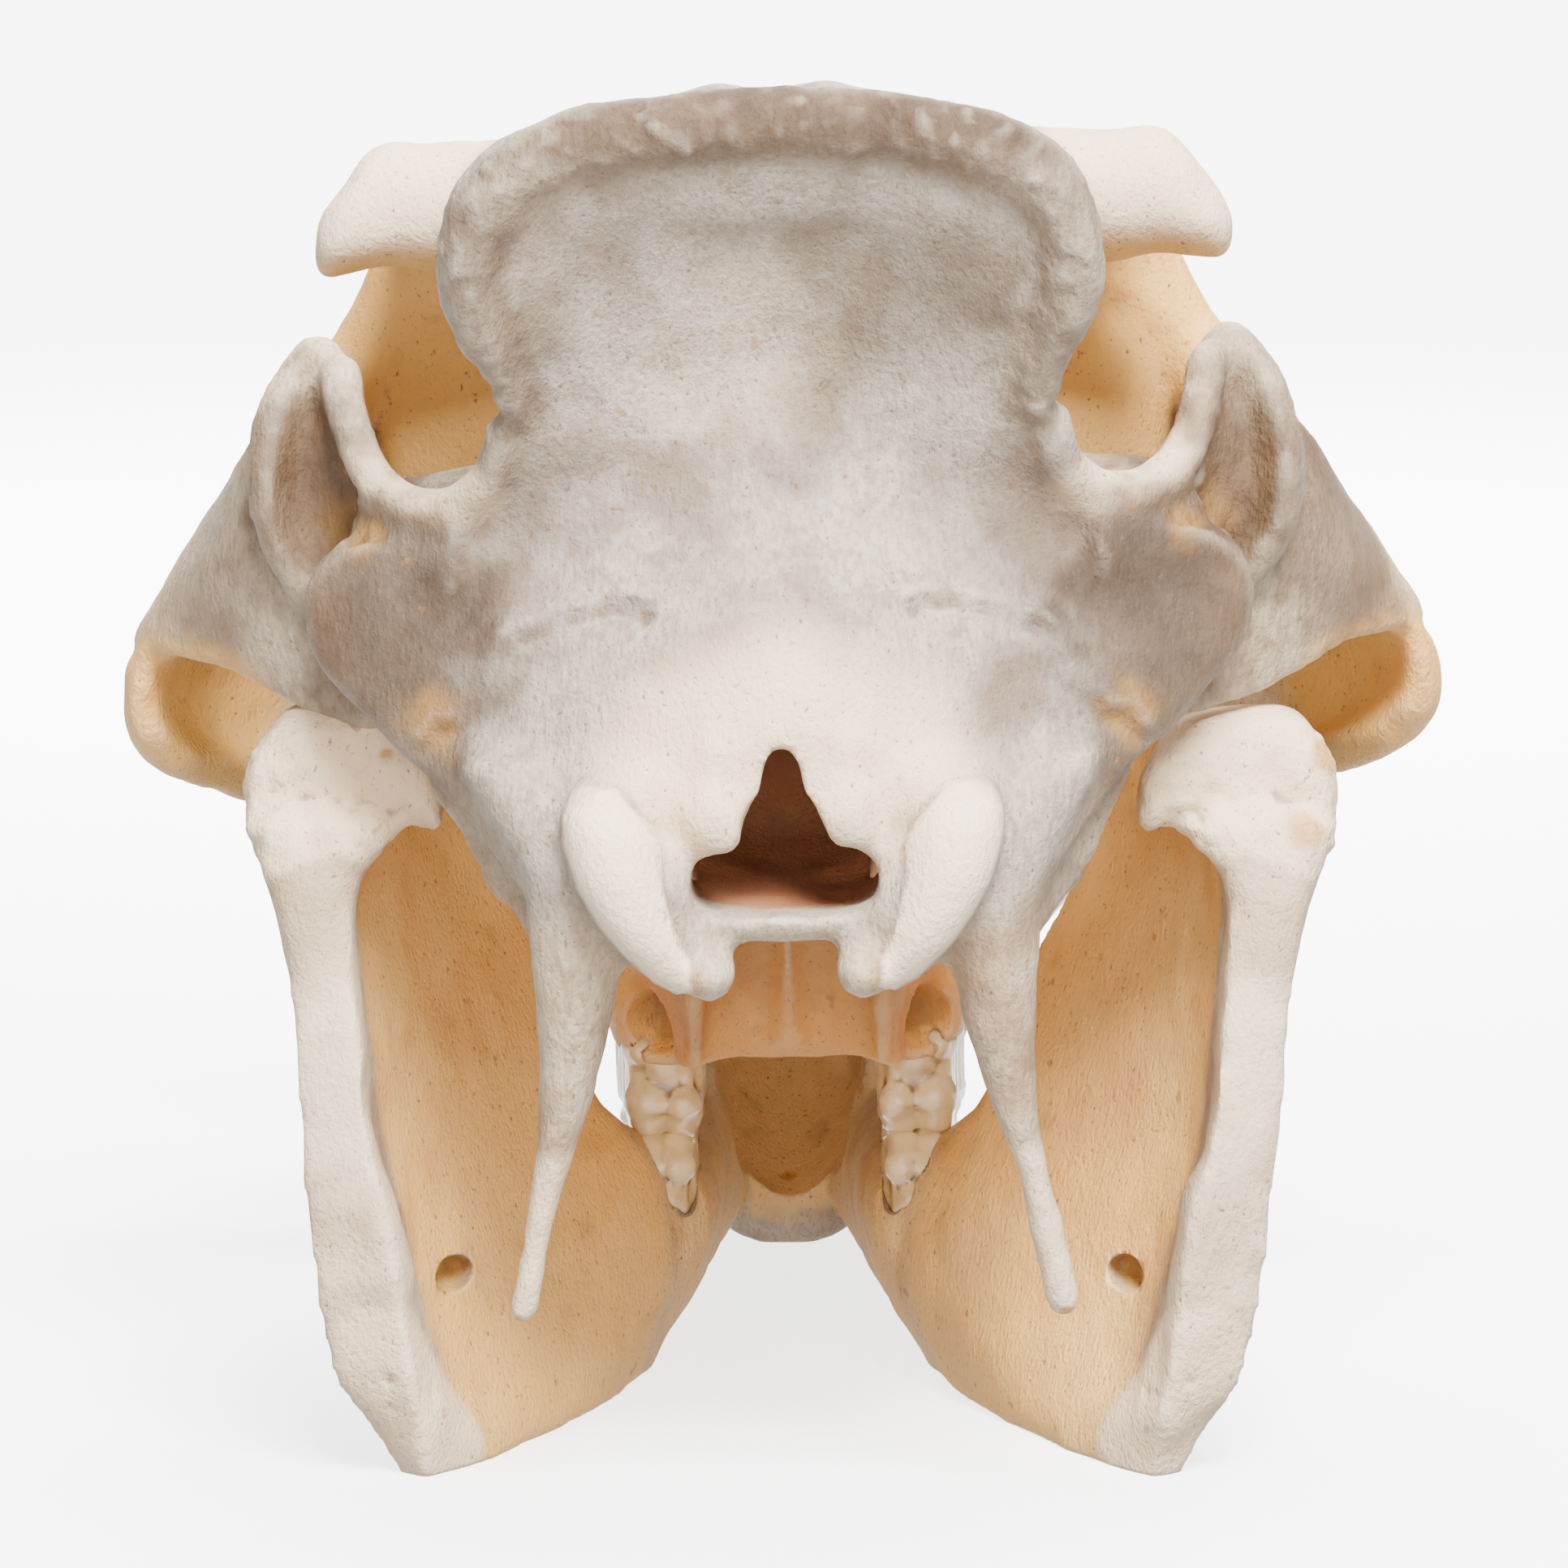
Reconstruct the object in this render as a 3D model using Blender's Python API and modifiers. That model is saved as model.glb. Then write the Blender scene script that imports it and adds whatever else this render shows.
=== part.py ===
"""Warthog skull with its lower jaw and four tusks, life size, at rest on its jaw.

The snout points to -Y, +X is the animal's left, and the floor is z = 0. The shapes are laid out in
millimetres from the rear of the occipital condyles, and moved at the end so that the origin is the
middle of the skull's outline on the floor.
"""

import math

import bmesh
import bpy
import numpy as np
from mathutils import Matrix, Vector

MM = 0.001
LEFT, RIGHT = 1, -1

# Driving sizes, in millimetres.
CREST_HEIGHT = 216.0  # top of the nuchal crest above the floor
CRANIUM_ROLL = 1.2  # degrees by which the cranium leans to the left on the jaw
ROLL_HEIGHT = 100.0  # height of the line about which it leans
JAW_SHIFT = -1.0  # how far the jaw sits to the right of the cranium
SOCKET_GAP = 0.5
LOWER_GIRTH = 0.84  # width of a lower cheek tooth as a share of an upper one
VOXEL = 1.5

CRANIUM_TRIANGLES = 7400
JAW_TRIANGLES = 3200
TOOTH_TRIANGLES = 240
MENDING_PASSES = 4

BONE = (0.80, 0.72, 0.60, 1.0)
IVORY = (0.88, 0.83, 0.72, 1.0)


def clear_scene():
    """Removes every object of the scene that is open."""
    for obj in list(bpy.data.objects):
        bpy.data.objects.remove(obj, do_unlink=True)


def collection(name):
    """A new collection in the scene."""
    made = bpy.data.collections.new(name)
    bpy.context.scene.collection.children.link(made)
    return made


def material(name, colour, roughness):
    """A Principled material of one colour."""
    made = bpy.data.materials.new(name)
    made.use_nodes = True
    shader = made.node_tree.nodes["Principled BSDF"]
    shader.inputs["Base Color"].default_value = colour
    shader.inputs["Roughness"].default_value = roughness
    shader.inputs["Metallic"].default_value = 0.0
    return made


def spread(count, samples):
    """Catmull-Rom weights that carry `count` control values to `samples` even ones."""
    weights = np.zeros((samples, count))
    for row, t in enumerate(np.linspace(0, count - 1, samples)):
        i = min(int(t), count - 2)
        f = t - i
        blend = (
            -0.5 * f**3 + f**2 - 0.5 * f,
            1.5 * f**3 - 2.5 * f**2 + 1,
            -1.5 * f**3 + 2 * f**2 + 0.5 * f,
            0.5 * f**3 - 0.5 * f**2,
        )
        for k, w in zip(range(i - 1, i + 3), blend):
            if k < 0:
                weights[row, 0] += 2 * w
                weights[row, 1] -= w
            elif k >= count:
                weights[row, -1] += 2 * w
                weights[row, -2] -= w
            else:
                weights[row, k] += w
    return weights


def skin_rings(rings):
    """A closed mesh over rings of points (rings x sides x 3), capped at both ends."""
    bm = bmesh.new()
    loops = [[bm.verts.new(Vector(p) * MM) for p in ring] for ring in rings]
    for low, high in zip(loops, loops[1:]):
        for k in range(len(low)):
            after = (k + 1) % len(low)
            bm.faces.new((low[k], low[after], high[after], high[k]))
    bm.faces.new(loops[0][::-1])
    bm.faces.new(loops[-1])
    bmesh.ops.recalc_face_normals(bm, faces=bm.faces)
    mesh = bpy.data.meshes.new("shape")
    bm.to_mesh(mesh)
    bm.free()
    return mesh


def spindle(stations, axis=None, power=2.0, sides=28, steps=5, ends=0.7):
    """A round-ended loft. A station is (x, y, z, half width, half height, lean in degrees).

    With an axis ("x", "y" or "z") every section is square to it, and otherwise to the path. Width
    runs along X, or Y for axis "x", and height along Z, or Y for axis "z". The ends stand out by
    the share `ends` of the last section's smaller half size.
    """
    given = np.array([list(s) + [0.0] * (6 - len(s)) for s in stations], float)
    rows = spread(len(given), (len(given) - 1) * steps + 1) @ given
    centres = rows[:, :3]
    tangents = np.gradient(centres, axis=0)
    turn = np.linspace(0, 2 * math.pi, sides, endpoint=False)
    across = np.sign(np.cos(turn)) * np.abs(np.cos(turn)) ** (2 / power)
    along = np.sign(np.sin(turn)) * np.abs(np.sin(turn)) ** (2 / power)
    rings = []
    for centre, tangent, (wide, high, lean) in zip(centres, tangents, rows[:, 3:]):
        tangent = tangent / max(np.linalg.norm(tangent), 1e-9)
        if axis == "y":
            side, rise = np.array((1.0, 0, 0)), np.array((0, 0, 1.0))
        elif axis == "z":
            side, rise = np.array((1.0, 0, 0)), np.array((0, 1.0, 0))
        elif axis == "x":
            side, rise = np.array((0, 1.0, 0)), np.array((0, 0, 1.0))
        else:
            up = np.array((0, 0, 1.0)) if abs(tangent[2]) < 0.8 else np.array((0, 1.0, 0))
            side = np.cross(tangent, up)
            side /= np.linalg.norm(side)
            rise = np.cross(side, tangent)
        c, s = math.cos(math.radians(lean)), math.sin(math.radians(lean))
        a, b = side * c + rise * s, rise * c - side * s
        rings.append(centre + np.outer(across * wide, a) + np.outer(along * high, b))
    for end, beyond in ((0, 1), (-1, -2)):
        reach = ends * min(abs(rows[end, 3]), abs(rows[end, 4]))
        way = centres[end] - centres[beyond]
        way = way / max(np.linalg.norm(way), 1e-9)
        caps = [
            centres[end] + (rings[end] - centres[end]) * math.cos(a) + way * reach * math.sin(a)
            for a in (0.55, 1.05, 1.4)
        ]
        rings = caps[::-1] + rings if end == 0 else rings + caps
    return skin_rings(np.array(rings))


def plate(rows, samples=(22, 16)):
    """A curved plate through a grid of control points (x, y, z, thickness), row by row."""
    grid = np.array(rows, float)
    down, over = spread(grid.shape[0], samples[0]), spread(grid.shape[1], samples[1])
    fine = np.einsum("ia,abk,jb->ijk", down, grid, over)
    points, thick = fine[..., :3], np.maximum(fine[..., 3:], 0.4)
    normal = np.cross(np.gradient(points, axis=0), np.gradient(points, axis=1))
    normal /= np.maximum(np.linalg.norm(normal, axis=2, keepdims=True), 1e-9)
    front, back = points + normal * thick / 2, points - normal * thick / 2
    return skin_rings(np.concatenate([front, back[:, ::-1]], axis=1))


def ball(x, y, z, rx, ry, rz, lean=0.0):
    """An ellipsoid. Lean turns it about Y, in degrees."""
    bm = bmesh.new()
    bmesh.ops.create_uvsphere(bm, u_segments=28, v_segments=18, radius=MM)
    turned = Matrix.Rotation(math.radians(lean), 4, "Y")
    place = Matrix.Translation(Vector((x, y, z)) * MM) @ turned
    bmesh.ops.transform(bm, matrix=place @ Matrix.Diagonal((rx, ry, rz, 1.0)), verts=bm.verts)
    mesh = bpy.data.meshes.new("ball")
    bm.to_mesh(mesh)
    bm.free()
    return mesh


def mirrored(mesh):
    """The same shape on the animal's right."""
    bm = bmesh.new()
    bm.from_mesh(mesh)
    bmesh.ops.scale(bm, vec=(-1, 1, 1), verts=bm.verts)
    bmesh.ops.reverse_faces(bm, faces=bm.faces)
    made = bpy.data.meshes.new(mesh.name)
    bm.to_mesh(made)
    bm.free()
    return made


def both(meshes):
    """The left shapes and their mirror images."""
    return meshes + [mirrored(mesh) for mesh in meshes]


def gathered(name, meshes, into):
    """One object that holds all the meshes, still loose."""
    bm = bmesh.new()
    for mesh in meshes:
        bm.from_mesh(mesh)
        bpy.data.meshes.remove(mesh)
    joined = bpy.data.meshes.new(name)
    bm.to_mesh(joined)
    bm.free()
    obj = bpy.data.objects.new(name, joined)
    into.objects.link(obj)
    return obj


def settle(obj):
    """Applies the object's modifiers."""
    bpy.context.view_layer.update()
    graph = bpy.context.evaluated_depsgraph_get()
    mesh = bpy.data.meshes.new_from_object(obj.evaluated_get(graph))
    obj.modifiers.clear()
    obj.data = mesh


def fuse(obj, voxel, smoothing):
    """Welds overlapping closed shapes into one skin and eases its creases."""
    remesh = obj.modifiers.new("fuse", "REMESH")
    remesh.mode = "VOXEL"
    remesh.voxel_size = voxel * MM
    ease = obj.modifiers.new("ease", "SMOOTH")
    ease.factor = 0.5
    ease.iterations = smoothing
    settle(obj)


def combine(obj, other, operation):
    """Applies one Boolean of two closed meshes and removes the second object."""
    step = obj.modifiers.new(operation.lower(), "BOOLEAN")
    step.operation = operation
    step.solver = "MANIFOLD"
    step.object = other
    settle(obj)
    bpy.data.objects.remove(other, do_unlink=True)


def keep_largest(obj):
    """Keeps only the largest closed surface of the mesh."""
    bm = bmesh.new()
    bm.from_mesh(obj.data)
    bm.verts.ensure_lookup_table()
    left, pieces = set(bm.verts), []
    while left:
        heap, piece = [left.pop()], []
        while heap:
            vert = heap.pop()
            piece.append(vert)
            for edge in vert.link_edges:
                other = edge.other_vert(vert)
                if other in left:
                    left.discard(other)
                    heap.append(other)
        pieces.append(piece)
    pieces.sort(key=len)
    for piece in pieces[:-1]:
        bmesh.ops.delete(bm, geom=piece, context="VERTS")
    bm.to_mesh(obj.data)
    bm.free()


def mend(obj):
    """Clears the few edges where the skin touches itself, and closes the gaps this leaves."""
    bm = bmesh.new()
    bm.from_mesh(obj.data)
    for _ in range(MENDING_PASSES):
        bad = [edge for edge in bm.edges if not edge.is_manifold]
        pinched = [vert for vert in bm.verts if not vert.is_manifold]
        if not bad and not pinched:
            break
        faces = {face for edge in bad for face in edge.link_faces}
        faces |= {face for vert in pinched for face in vert.link_faces}
        bmesh.ops.delete(bm, geom=list(faces), context="FACES")
        loose = [vert for vert in bm.verts if not vert.link_faces]
        bmesh.ops.delete(bm, geom=loose, context="VERTS")
        bmesh.ops.holes_fill(bm, edges=[edge for edge in bm.edges if edge.is_boundary], sides=0)
        bmesh.ops.triangulate(bm, faces=[face for face in bm.faces if len(face.verts) > 3])
    bm.to_mesh(obj.data)
    bm.free()


def coarsen(obj, triangles):
    """Collapses the mesh to about this many triangles."""
    mend(obj)
    keep_largest(obj)
    obj.data.calc_loop_triangles()
    thin = obj.modifiers.new("coarsen", "DECIMATE")
    thin.ratio = min(1.0, triangles / len(obj.data.loop_triangles))
    thin.use_collapse_triangulate = True
    settle(obj)
    mend(obj)


# The cranium.


def nuchal_shield():
    """The broad rear wall: concave above, with wings that reach out beside the ear holes."""
    levels = (  # z, half width, y at the middle, y half way out, y at the edge, thickness
        (CREST_HEIGHT - 1, 16, 2.5, 1.5, 0, 7),
        (CREST_HEIGHT - 5, 31, 1, 1, 1, 9),
        (205, 40.5, -5, -3, 1, 10),
        (195, 45.5, -12, -9, -1, 10),
        (186, 44.5, -16, -13, -4, 9),
        (178, 41, -18.5, -16.5, -10, 8),
        (170, 40, -19.5, -18.5, -15, 8),
        (162, 43.5, -19, -20, -19, 8),
        (155, 52, -17.5, -21, -24, 8),
        (149, 67, -15, -22, -28.5, 7),
        (141, 71.5, -11, -21.5, -31, 7),
        (132, 70, -7, -19, -31, 7),
        (123, 62, -5, -16.5, -28, 7),
        (114, 52, -5.5, -14, -25, 8),
        (104, 44, -8, -13, -20, 9),
        (95, 37, -10, -13, -17, 9),
    )
    rows = []
    for z, half, middle, part, edge, thick in levels:
        rows.append(
            [
                (-half, edge - 3, z, thick),
                (-half * 0.55, part - 6, z, thick + 7),
                (0, middle - 9, z, thick + 12),
                (half * 0.55, part - 6, z, thick + 7),
                (half, edge - 3, z, thick),
            ]
        )
    return plate(rows, samples=(60, 40))


def crest_rim():
    """The rough thick rim round the top of the shield."""
    line = (
        (0, 0, 213, 5.5, 5.5),
        (20, 0, 211.5, 5.5, 5.5),
        (32.5, 0, 208.5, 5.5, 5.5),
        (40, -1, 203.5, 5.5, 5.5),
        (43.8, -2, 197, 5, 5),
        (44.8, -4, 190, 4.5, 4.5),
        (43, -7, 183, 4, 4),
        (40, -11, 176, 3, 3),
        (39, -14, 170, 2.5, 2.5),
    )
    return spindle(line, sides=16)


def condyles():
    """One smooth occipital condyle and the lobed bone between it and the top of the great hole."""
    joint = (
        (28.3, -12, 114, 3.4, 6.5),
        (26.6, -10, 110.5, 6, 9),
        (25.3, -9.5, 106, 7, 9.5),
        (24.4, -9.2, 101, 6.5, 9.4),
        (22.9, -9.5, 97, 5.9, 9.2),
        (20.8, -10, 92.5, 5.2, 8.6),
        (18.4, -11, 88.5, 4.4, 7.6),
        (16.8, -12, 85.5, 3, 6.2),
    )
    return [
        spindle(joint, "z", 2.4),
        ball(20.5, -14, 99.5, 9, 11, 18, lean=33),
        ball(16, -18, 91, 8, 13, 8),
        ball(11.5, -9, 86.8, 4.4, 7, 4.6),
        ball(9.6, -8.5, 110.5, 5.8, 5.5, 7.5, lean=14),
        ball(22, -15, 113, 13, 9, 8, lean=25),
    ]


def braincase():
    """The brain box, the basicranium and the roof between the temples."""
    box = (
        (0, -38, 152, 32, 48),
        (0, -52, 155, 36, 52),
        (0, -66, 158, 35, 47),
        (0, -84, 158, 34, 44),
        (0, -100, 152, 36, 46),
    )
    floor = (
        (0, -9, 96.5, 15, 5.6),
        (0, -34, 98, 14, 8),
        (0, -60, 100, 15, 10),
        (0, -92, 104, 20, 12),
    )
    roof = (
        (0, -7, 204.5, 38, 8),
        (0, -18, 204.5, 33, 8),
        (0, -32, 204, 27, 8),
        (0, -48, 203, 31, 9),
        (0, -64, 200, 47, 10),
        (0, -78, 197, 53, 11),
        (0, -96, 190, 50, 12),
        (0, -116, 181, 41, 12),
        (0, -138, 170.5, 31, 11),
        (0, -162, 159.5, 24, 9),
    )
    return [spindle(box, "y", 2.3), spindle(floor, "y", 2.4), spindle(roof, "y", 2.4)]


def face():
    """The long muzzle, from the orbits to the tip of the snout."""
    muzzle = (
        (0, -98, 135, 37, 52),
        (0, -120, 121, 40, 62),
        (0, -142, 116, 38, 60),
        (0, -168, 111.5, 34, 55.5),
        (0, -196, 106.5, 30.5, 50.5),
        (0, -226, 101.5, 28, 45.5),
        (0, -256, 97, 27, 41),
        (0, -284, 93, 27, 37.5),
        (0, -306, 91, 24, 33.5),
        (0, -320, 91, 19, 29),
    )
    nose = ((0, -300, 112, 19, 12), (0, -318, 112, 15, 9), (0, -330, 112, 9, 5))
    return [spindle(muzzle, "y", 2.6, sides=36), spindle(nose, "y")]


def cheek():
    """One zygomatic arch: the flaring plate, its lower flange and the root at the jaw joint."""
    upper = [  # rows run from the rear root forward: top edge, middle, lower edge
        [(66, -46, 165, 6), (67, -47, 147, 6.5), (60, -46, 119, 8)],
        [(75, -53, 167, 6), (76, -50, 147, 6), (72, -53, 122, 7)],
        [(80, -62, 161, 6), (85.5, -58, 143.5, 6), (84.5, -62, 127.5, 6)],
        [(80.5, -77, 158, 6.5), (90.5, -73, 142, 7), (98, -76, 128.5, 7)],
        [(78.5, -92, 160, 8), (90.5, -90, 142, 7.5), (99, -90, 126, 9)],
        [(75, -107, 163, 9), (86, -107, 142, 9), (93, -107, 119, 10)],
        [(64, -119, 162, 11), (72, -121, 137, 12), (77, -122, 110, 12)],
        [(48, -130, 156, 13), (54, -133, 131, 14), (56, -135, 104, 14)],
        [(34, -142, 148, 12), (37, -146, 125, 12), (38, -149, 99, 12)],
        [(22, -156, 142, 10), (24, -162, 120, 10), (24, -166, 96, 10)],
    ]
    flange = [
        [(99.5, -74, 128, 4), (100.8, -76, 122, 4), (99.5, -80, 116, 3.5)],
        [(100.5, -82, 127, 7), (101, -83, 116.5, 7), (95.5, -85, 109.5, 5)],
        [(99.5, -94, 124, 9), (98.5, -94, 113.5, 9), (91, -93, 106.5, 7)],
        [(92, -108, 118, 9), (90, -108, 108, 9), (83, -107, 102.5, 8)],
        [(77, -122, 112, 10), (75, -123, 102, 10), (68, -123, 96, 9)],
        [(55, -136, 106, 12), (54, -138, 96, 12), (50, -139, 90, 11)],
        [(36, -150, 100, 10), (36, -150, 92, 10), (34, -150, 88, 10)],
    ]
    root = ((34, -42, 145, 13, 17), (50, -43, 144, 11, 16), (62, -46, 143, 9, 15))
    return [plate(upper, (44, 20)), plate(flange, (30, 12)), spindle(root, "x")]


def ear_plate():
    """The upright scoop of the squamosal bone behind the arch, and the ear hole's shelf."""
    scoop = [  # rows run upward: inner edge, middle, outer edge
        [(59, -43, 139, 6), (66, -47, 137.5, 6), (71.5, -42, 139.5, 5)],
        [(60, -42, 147, 6), (69, -51, 147, 6), (77.3, -41.5, 147, 5)],
        [(61, -41, 155, 6), (70, -53, 155, 6), (79.3, -41, 156, 5)],
        [(62.5, -41, 163, 6), (70, -52.5, 163, 6), (78.9, -42, 163.5, 5)],
        [(64, -43, 170, 5), (70, -50.5, 171, 6), (77, -43.5, 170.5, 5)],
        [(65.5, -45, 175, 5), (69.5, -48.5, 176.5, 6), (73.5, -45.5, 176, 5)],
        [(67, -46, 178.5, 4), (69, -46.5, 179.4, 4.5), (71, -46, 178.6, 4)],
    ]
    rim = (
        (40.5, -17, 168, 3.2, 3.2),
        (42.2, -19, 161, 3.5, 3.5),
        (47.5, -23, 156, 3.6, 3.6),
        (54, -27, 155.4, 3.6, 3.6),
        (60.6, -32, 159.6, 3.6, 3.6),
        (64.3, -38, 167.5, 3.3, 3.3),
        (65.8, -43, 175, 3, 3),
    )
    between = [
        [(43, -21, 159, 5), (53, -28, 154, 5.5), (61, -34, 158, 5)],
        [(45, -23, 151, 8), (56, -31, 149, 8), (64, -38, 151, 6)],
        [(46, -24, 142, 8), (57, -33, 141, 8), (65, -40, 142, 6)],
    ]
    shelf = ((44, -38, 147, 10, 9), (58, -42, 145, 10, 9))
    return [plate(scoop, (26, 20)), spindle(rim), spindle(shelf, "x"), plate(between, (16, 12))]


def orbit_rim():
    """The knob over the eye and the front and lower rim of the orbit."""
    knob = (
        (34, -70, 200, 14, 9),
        (50, -70, 198, 12, 10.4),
        (58, -69.5, 199, 11, 10.3),
        (63.5, -69, 197.6, 10, 9.3),
        (67, -68.5, 194.8, 8.5, 6.6),
    )
    rim = (
        (56, -76, 201, 6, 6),
        (53, -92, 198, 7, 6.5),
        (56, -105, 191, 7, 7),
        (61, -111, 181, 7, 7),
        (67, -111, 171, 7, 7),
        (75, -104, 162, 7, 7),
    )
    wall = ((20, -112, 166, 20, 24), (44, -112, 165, 14, 22), (58, -112, 163, 9, 19))
    brow = ball(50, -107, 188, 11, 8, 9)
    return [spindle(knob, "x", 2.3, ends=0.5), spindle(rim), spindle(wall, "x"), brow]


def jugular_process():
    """The long paraoccipital spike that hangs beside the condyle."""
    spike = (
        (40, -20, 117, 9, 6.5),
        (36, -19, 110.5, 9.5, 8),
        (32.8, -18.5, 104, 8.8, 8.5),
        (31.2, -18.5, 97, 7.6, 8.3),
        (31.3, -19, 88, 7, 7.6),
        (31.9, -20, 78, 5.7, 6.6),
        (33.2, -21, 68, 4.3, 5.6),
        (35.4, -22, 58, 3.1, 4.6),
        (37.9, -23, 48, 2.6, 3.8),
        (41.2, -24.2, 31.5, 2.8, 3.2),
    )
    lobed = [
        [(42, -28, 114, 7), (49, -33, 114, 6), (54.5, -33, 115, 4)],
        [(39, -28, 106, 8), (45, -33, 106, 6), (50, -33, 106, 3.5)],
        [(36, -28, 99, 8), (42, -32, 98.5, 5.5), (46.8, -33, 99.5, 3.5)],
        [(34, -27, 92, 7), (38, -30, 92, 5), (41.4, -31, 92.5, 3.5)],
        [(33, -25, 85, 5), (35.5, -27, 85.5, 4), (38, -28, 87, 3)],
    ]
    return [spindle(spike, "z", ends=0.5), plate(lobed)]


def throat():
    """The bullae, the throat's wings, the bony palate behind the teeth, and the tooth sockets."""
    bulla = ball(38, -44, 104, 8, 14, 13, lean=-25)
    wing = [
        [(15, -78, 98, 4), (17, -96, 96, 6), (20, -118, 92, 9)],
        [(15, -84, 82, 3.5), (17, -100, 78, 4.5), (21, -120, 76, 9)],
        [(15, -92, 68, 3.5), (16.5, -104, 64, 4), (20, -120, 64, 9)],
        [(15, -99, 56, 4), (16, -106, 55, 4.5), (18, -120, 56, 8)],
    ]
    sockets = (
        (21, -122, 64.5, 9, 12.5),
        (21.5, -138, 66, 10.2, 14.5),
        (22, -170, 67, 9.6, 13),
        (21.5, -190, 67, 9.2, 12.5),
        (20.5, -208, 68, 8.4, 11.5),
        (20, -224, 73, 6, 8),
        (20, -240, 79, 4, 5),
    )
    vault = [  # rows run down from the skull base to the rear edge of the palate
        [(-15, -78, 98, 4), (-8, -85, 98, 4), (0, -87, 98, 4), (8, -85, 98, 4), (15, -78, 98, 4)],
        [(-15, -90, 83, 4), (-8, -97, 83, 4), (0, -99, 83, 4), (8, -97, 83, 4), (15, -90, 83, 4)],
        [(-15, -100, 69, 4), (-8, -107, 69, 4), (0, -109, 69, 4), (8, -107, 69, 4), (15, -100, 69, 4)],
        [(-15, -110, 56, 4), (-8, -116, 56, 4), (0, -118, 55, 4), (8, -116, 56, 4), (15, -110, 56, 4)],
    ]
    blade = ((0, -84, 94, 1.1, 4), (0, -95, 82, 1.1, 4), (0, -105, 70, 1.4, 4), (0, -113, 58, 3.6, 4))
    palate = ((0, -118, 58, 15, 3.2), (0, -140, 58, 20, 4.5), (0, -170, 59, 24, 5))
    return both([bulla, plate(wing), spindle(sockets, "y")]) + [
        plate(vault),
        spindle(blade, "z", ends=0.3),
        spindle(palate, "y", 2.6),
    ]


def snout_flanges():
    """The sheath of one upper tusk, the ridge that runs back from it and the front of the lip."""
    sheath = ((18, -274, 74, 17, 16), (34, -280, 73, 18, 16.5), (47, -283, 74, 17, 15.5))
    ridge = ((30, -266, 82, 10, 9), (27, -244, 88, 7, 7), (25, -220, 95, 5, 6))
    lip = ((17, -296, 71, 9, 12), (13, -318, 73, 8.5, 11), (9.5, -334, 74, 7, 9))
    return [spindle(sheath, "x"), spindle(ridge, "y"), spindle(lip, "y")]


def cranium_hollows():
    """What is cut out of the cranium: the great hole, orbits, temples, nose, throat and ears."""
    slot = ((0, 12, 112, 2.7, 9), (0, -10, 112, 2.9, 9.2), (0, -44, 116, 9, 12))
    bell = ((0, 12, 107, 6.8, 7), (0, -10, 107, 6.8, 7), (0, -44, 110, 12, 9))
    canal = ((0, 12, 100.4, 14.2, 5.3), (0, -14, 100.4, 14.2, 5.3), (0, -34, 104.5, 15, 8.5))
    nose = ((0, -360, 82, 12, 15), (0, -334, 86, 13, 15), (0, -306, 92, 15, 17), (0, -262, 94, 13, 18))
    middle = [
        spindle(slot, "y", 3),
        spindle(bell, "y"),
        spindle(canal, "y", 3.6),
        ball(0, -36, 109, 17, 24, 12.5),
        ball(0, -46, 122, 15, 17, 16),
        spindle(nose, "y", 2.4),
    ]
    temple = spindle(((56, -68, 178, 14, 20), (58, -76, 150, 17, 24), (62, -76, 112, 17, 25)), "z", 2.5)
    window = ball(57, -50, 173, 14, 28, 15)
    orbit = ball(70, -89, 183, 25, 18, 17)
    ear = spindle(((74, -26, 158, 4, 3.6), (58, -34, 151, 3.6, 3.4), (46, -40, 146, 3, 3)))
    crypt = ball(21.5, -114.5, 60.5, 6.4, 8, 6.6)
    cheek_hole = spindle(((52, -190, 92, 4, 4.5), (34, -176, 95, 4, 4.5), (22, -164, 98, 3, 3)))
    return middle + both([temple, window, orbit, ear, crypt, cheek_hole])


def build_cranium(bones, cutters):
    """The whole cranium as one bone, before its sockets are cut."""
    parts = [nuchal_shield()] + braincase() + face()
    parts += both([crest_rim()] + condyles() + orbit_rim() + jugular_process() + snout_flanges())
    parts += throat()
    skull = gathered("cranium", parts, bones)
    fuse(skull, VOXEL, 6)
    hollow = gathered("hollows", cranium_hollows(), cutters)
    fuse(hollow, VOXEL, 2)
    combine(skull, hollow, "DIFFERENCE")
    arches = gathered("arches", both(cheek() + ear_plate()), bones)
    fuse(arches, VOXEL, 5)
    combine(skull, arches, "UNION")
    fuse(skull, VOXEL, 5)
    keep_largest(skull)
    return skull


# The lower jaw.


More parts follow.
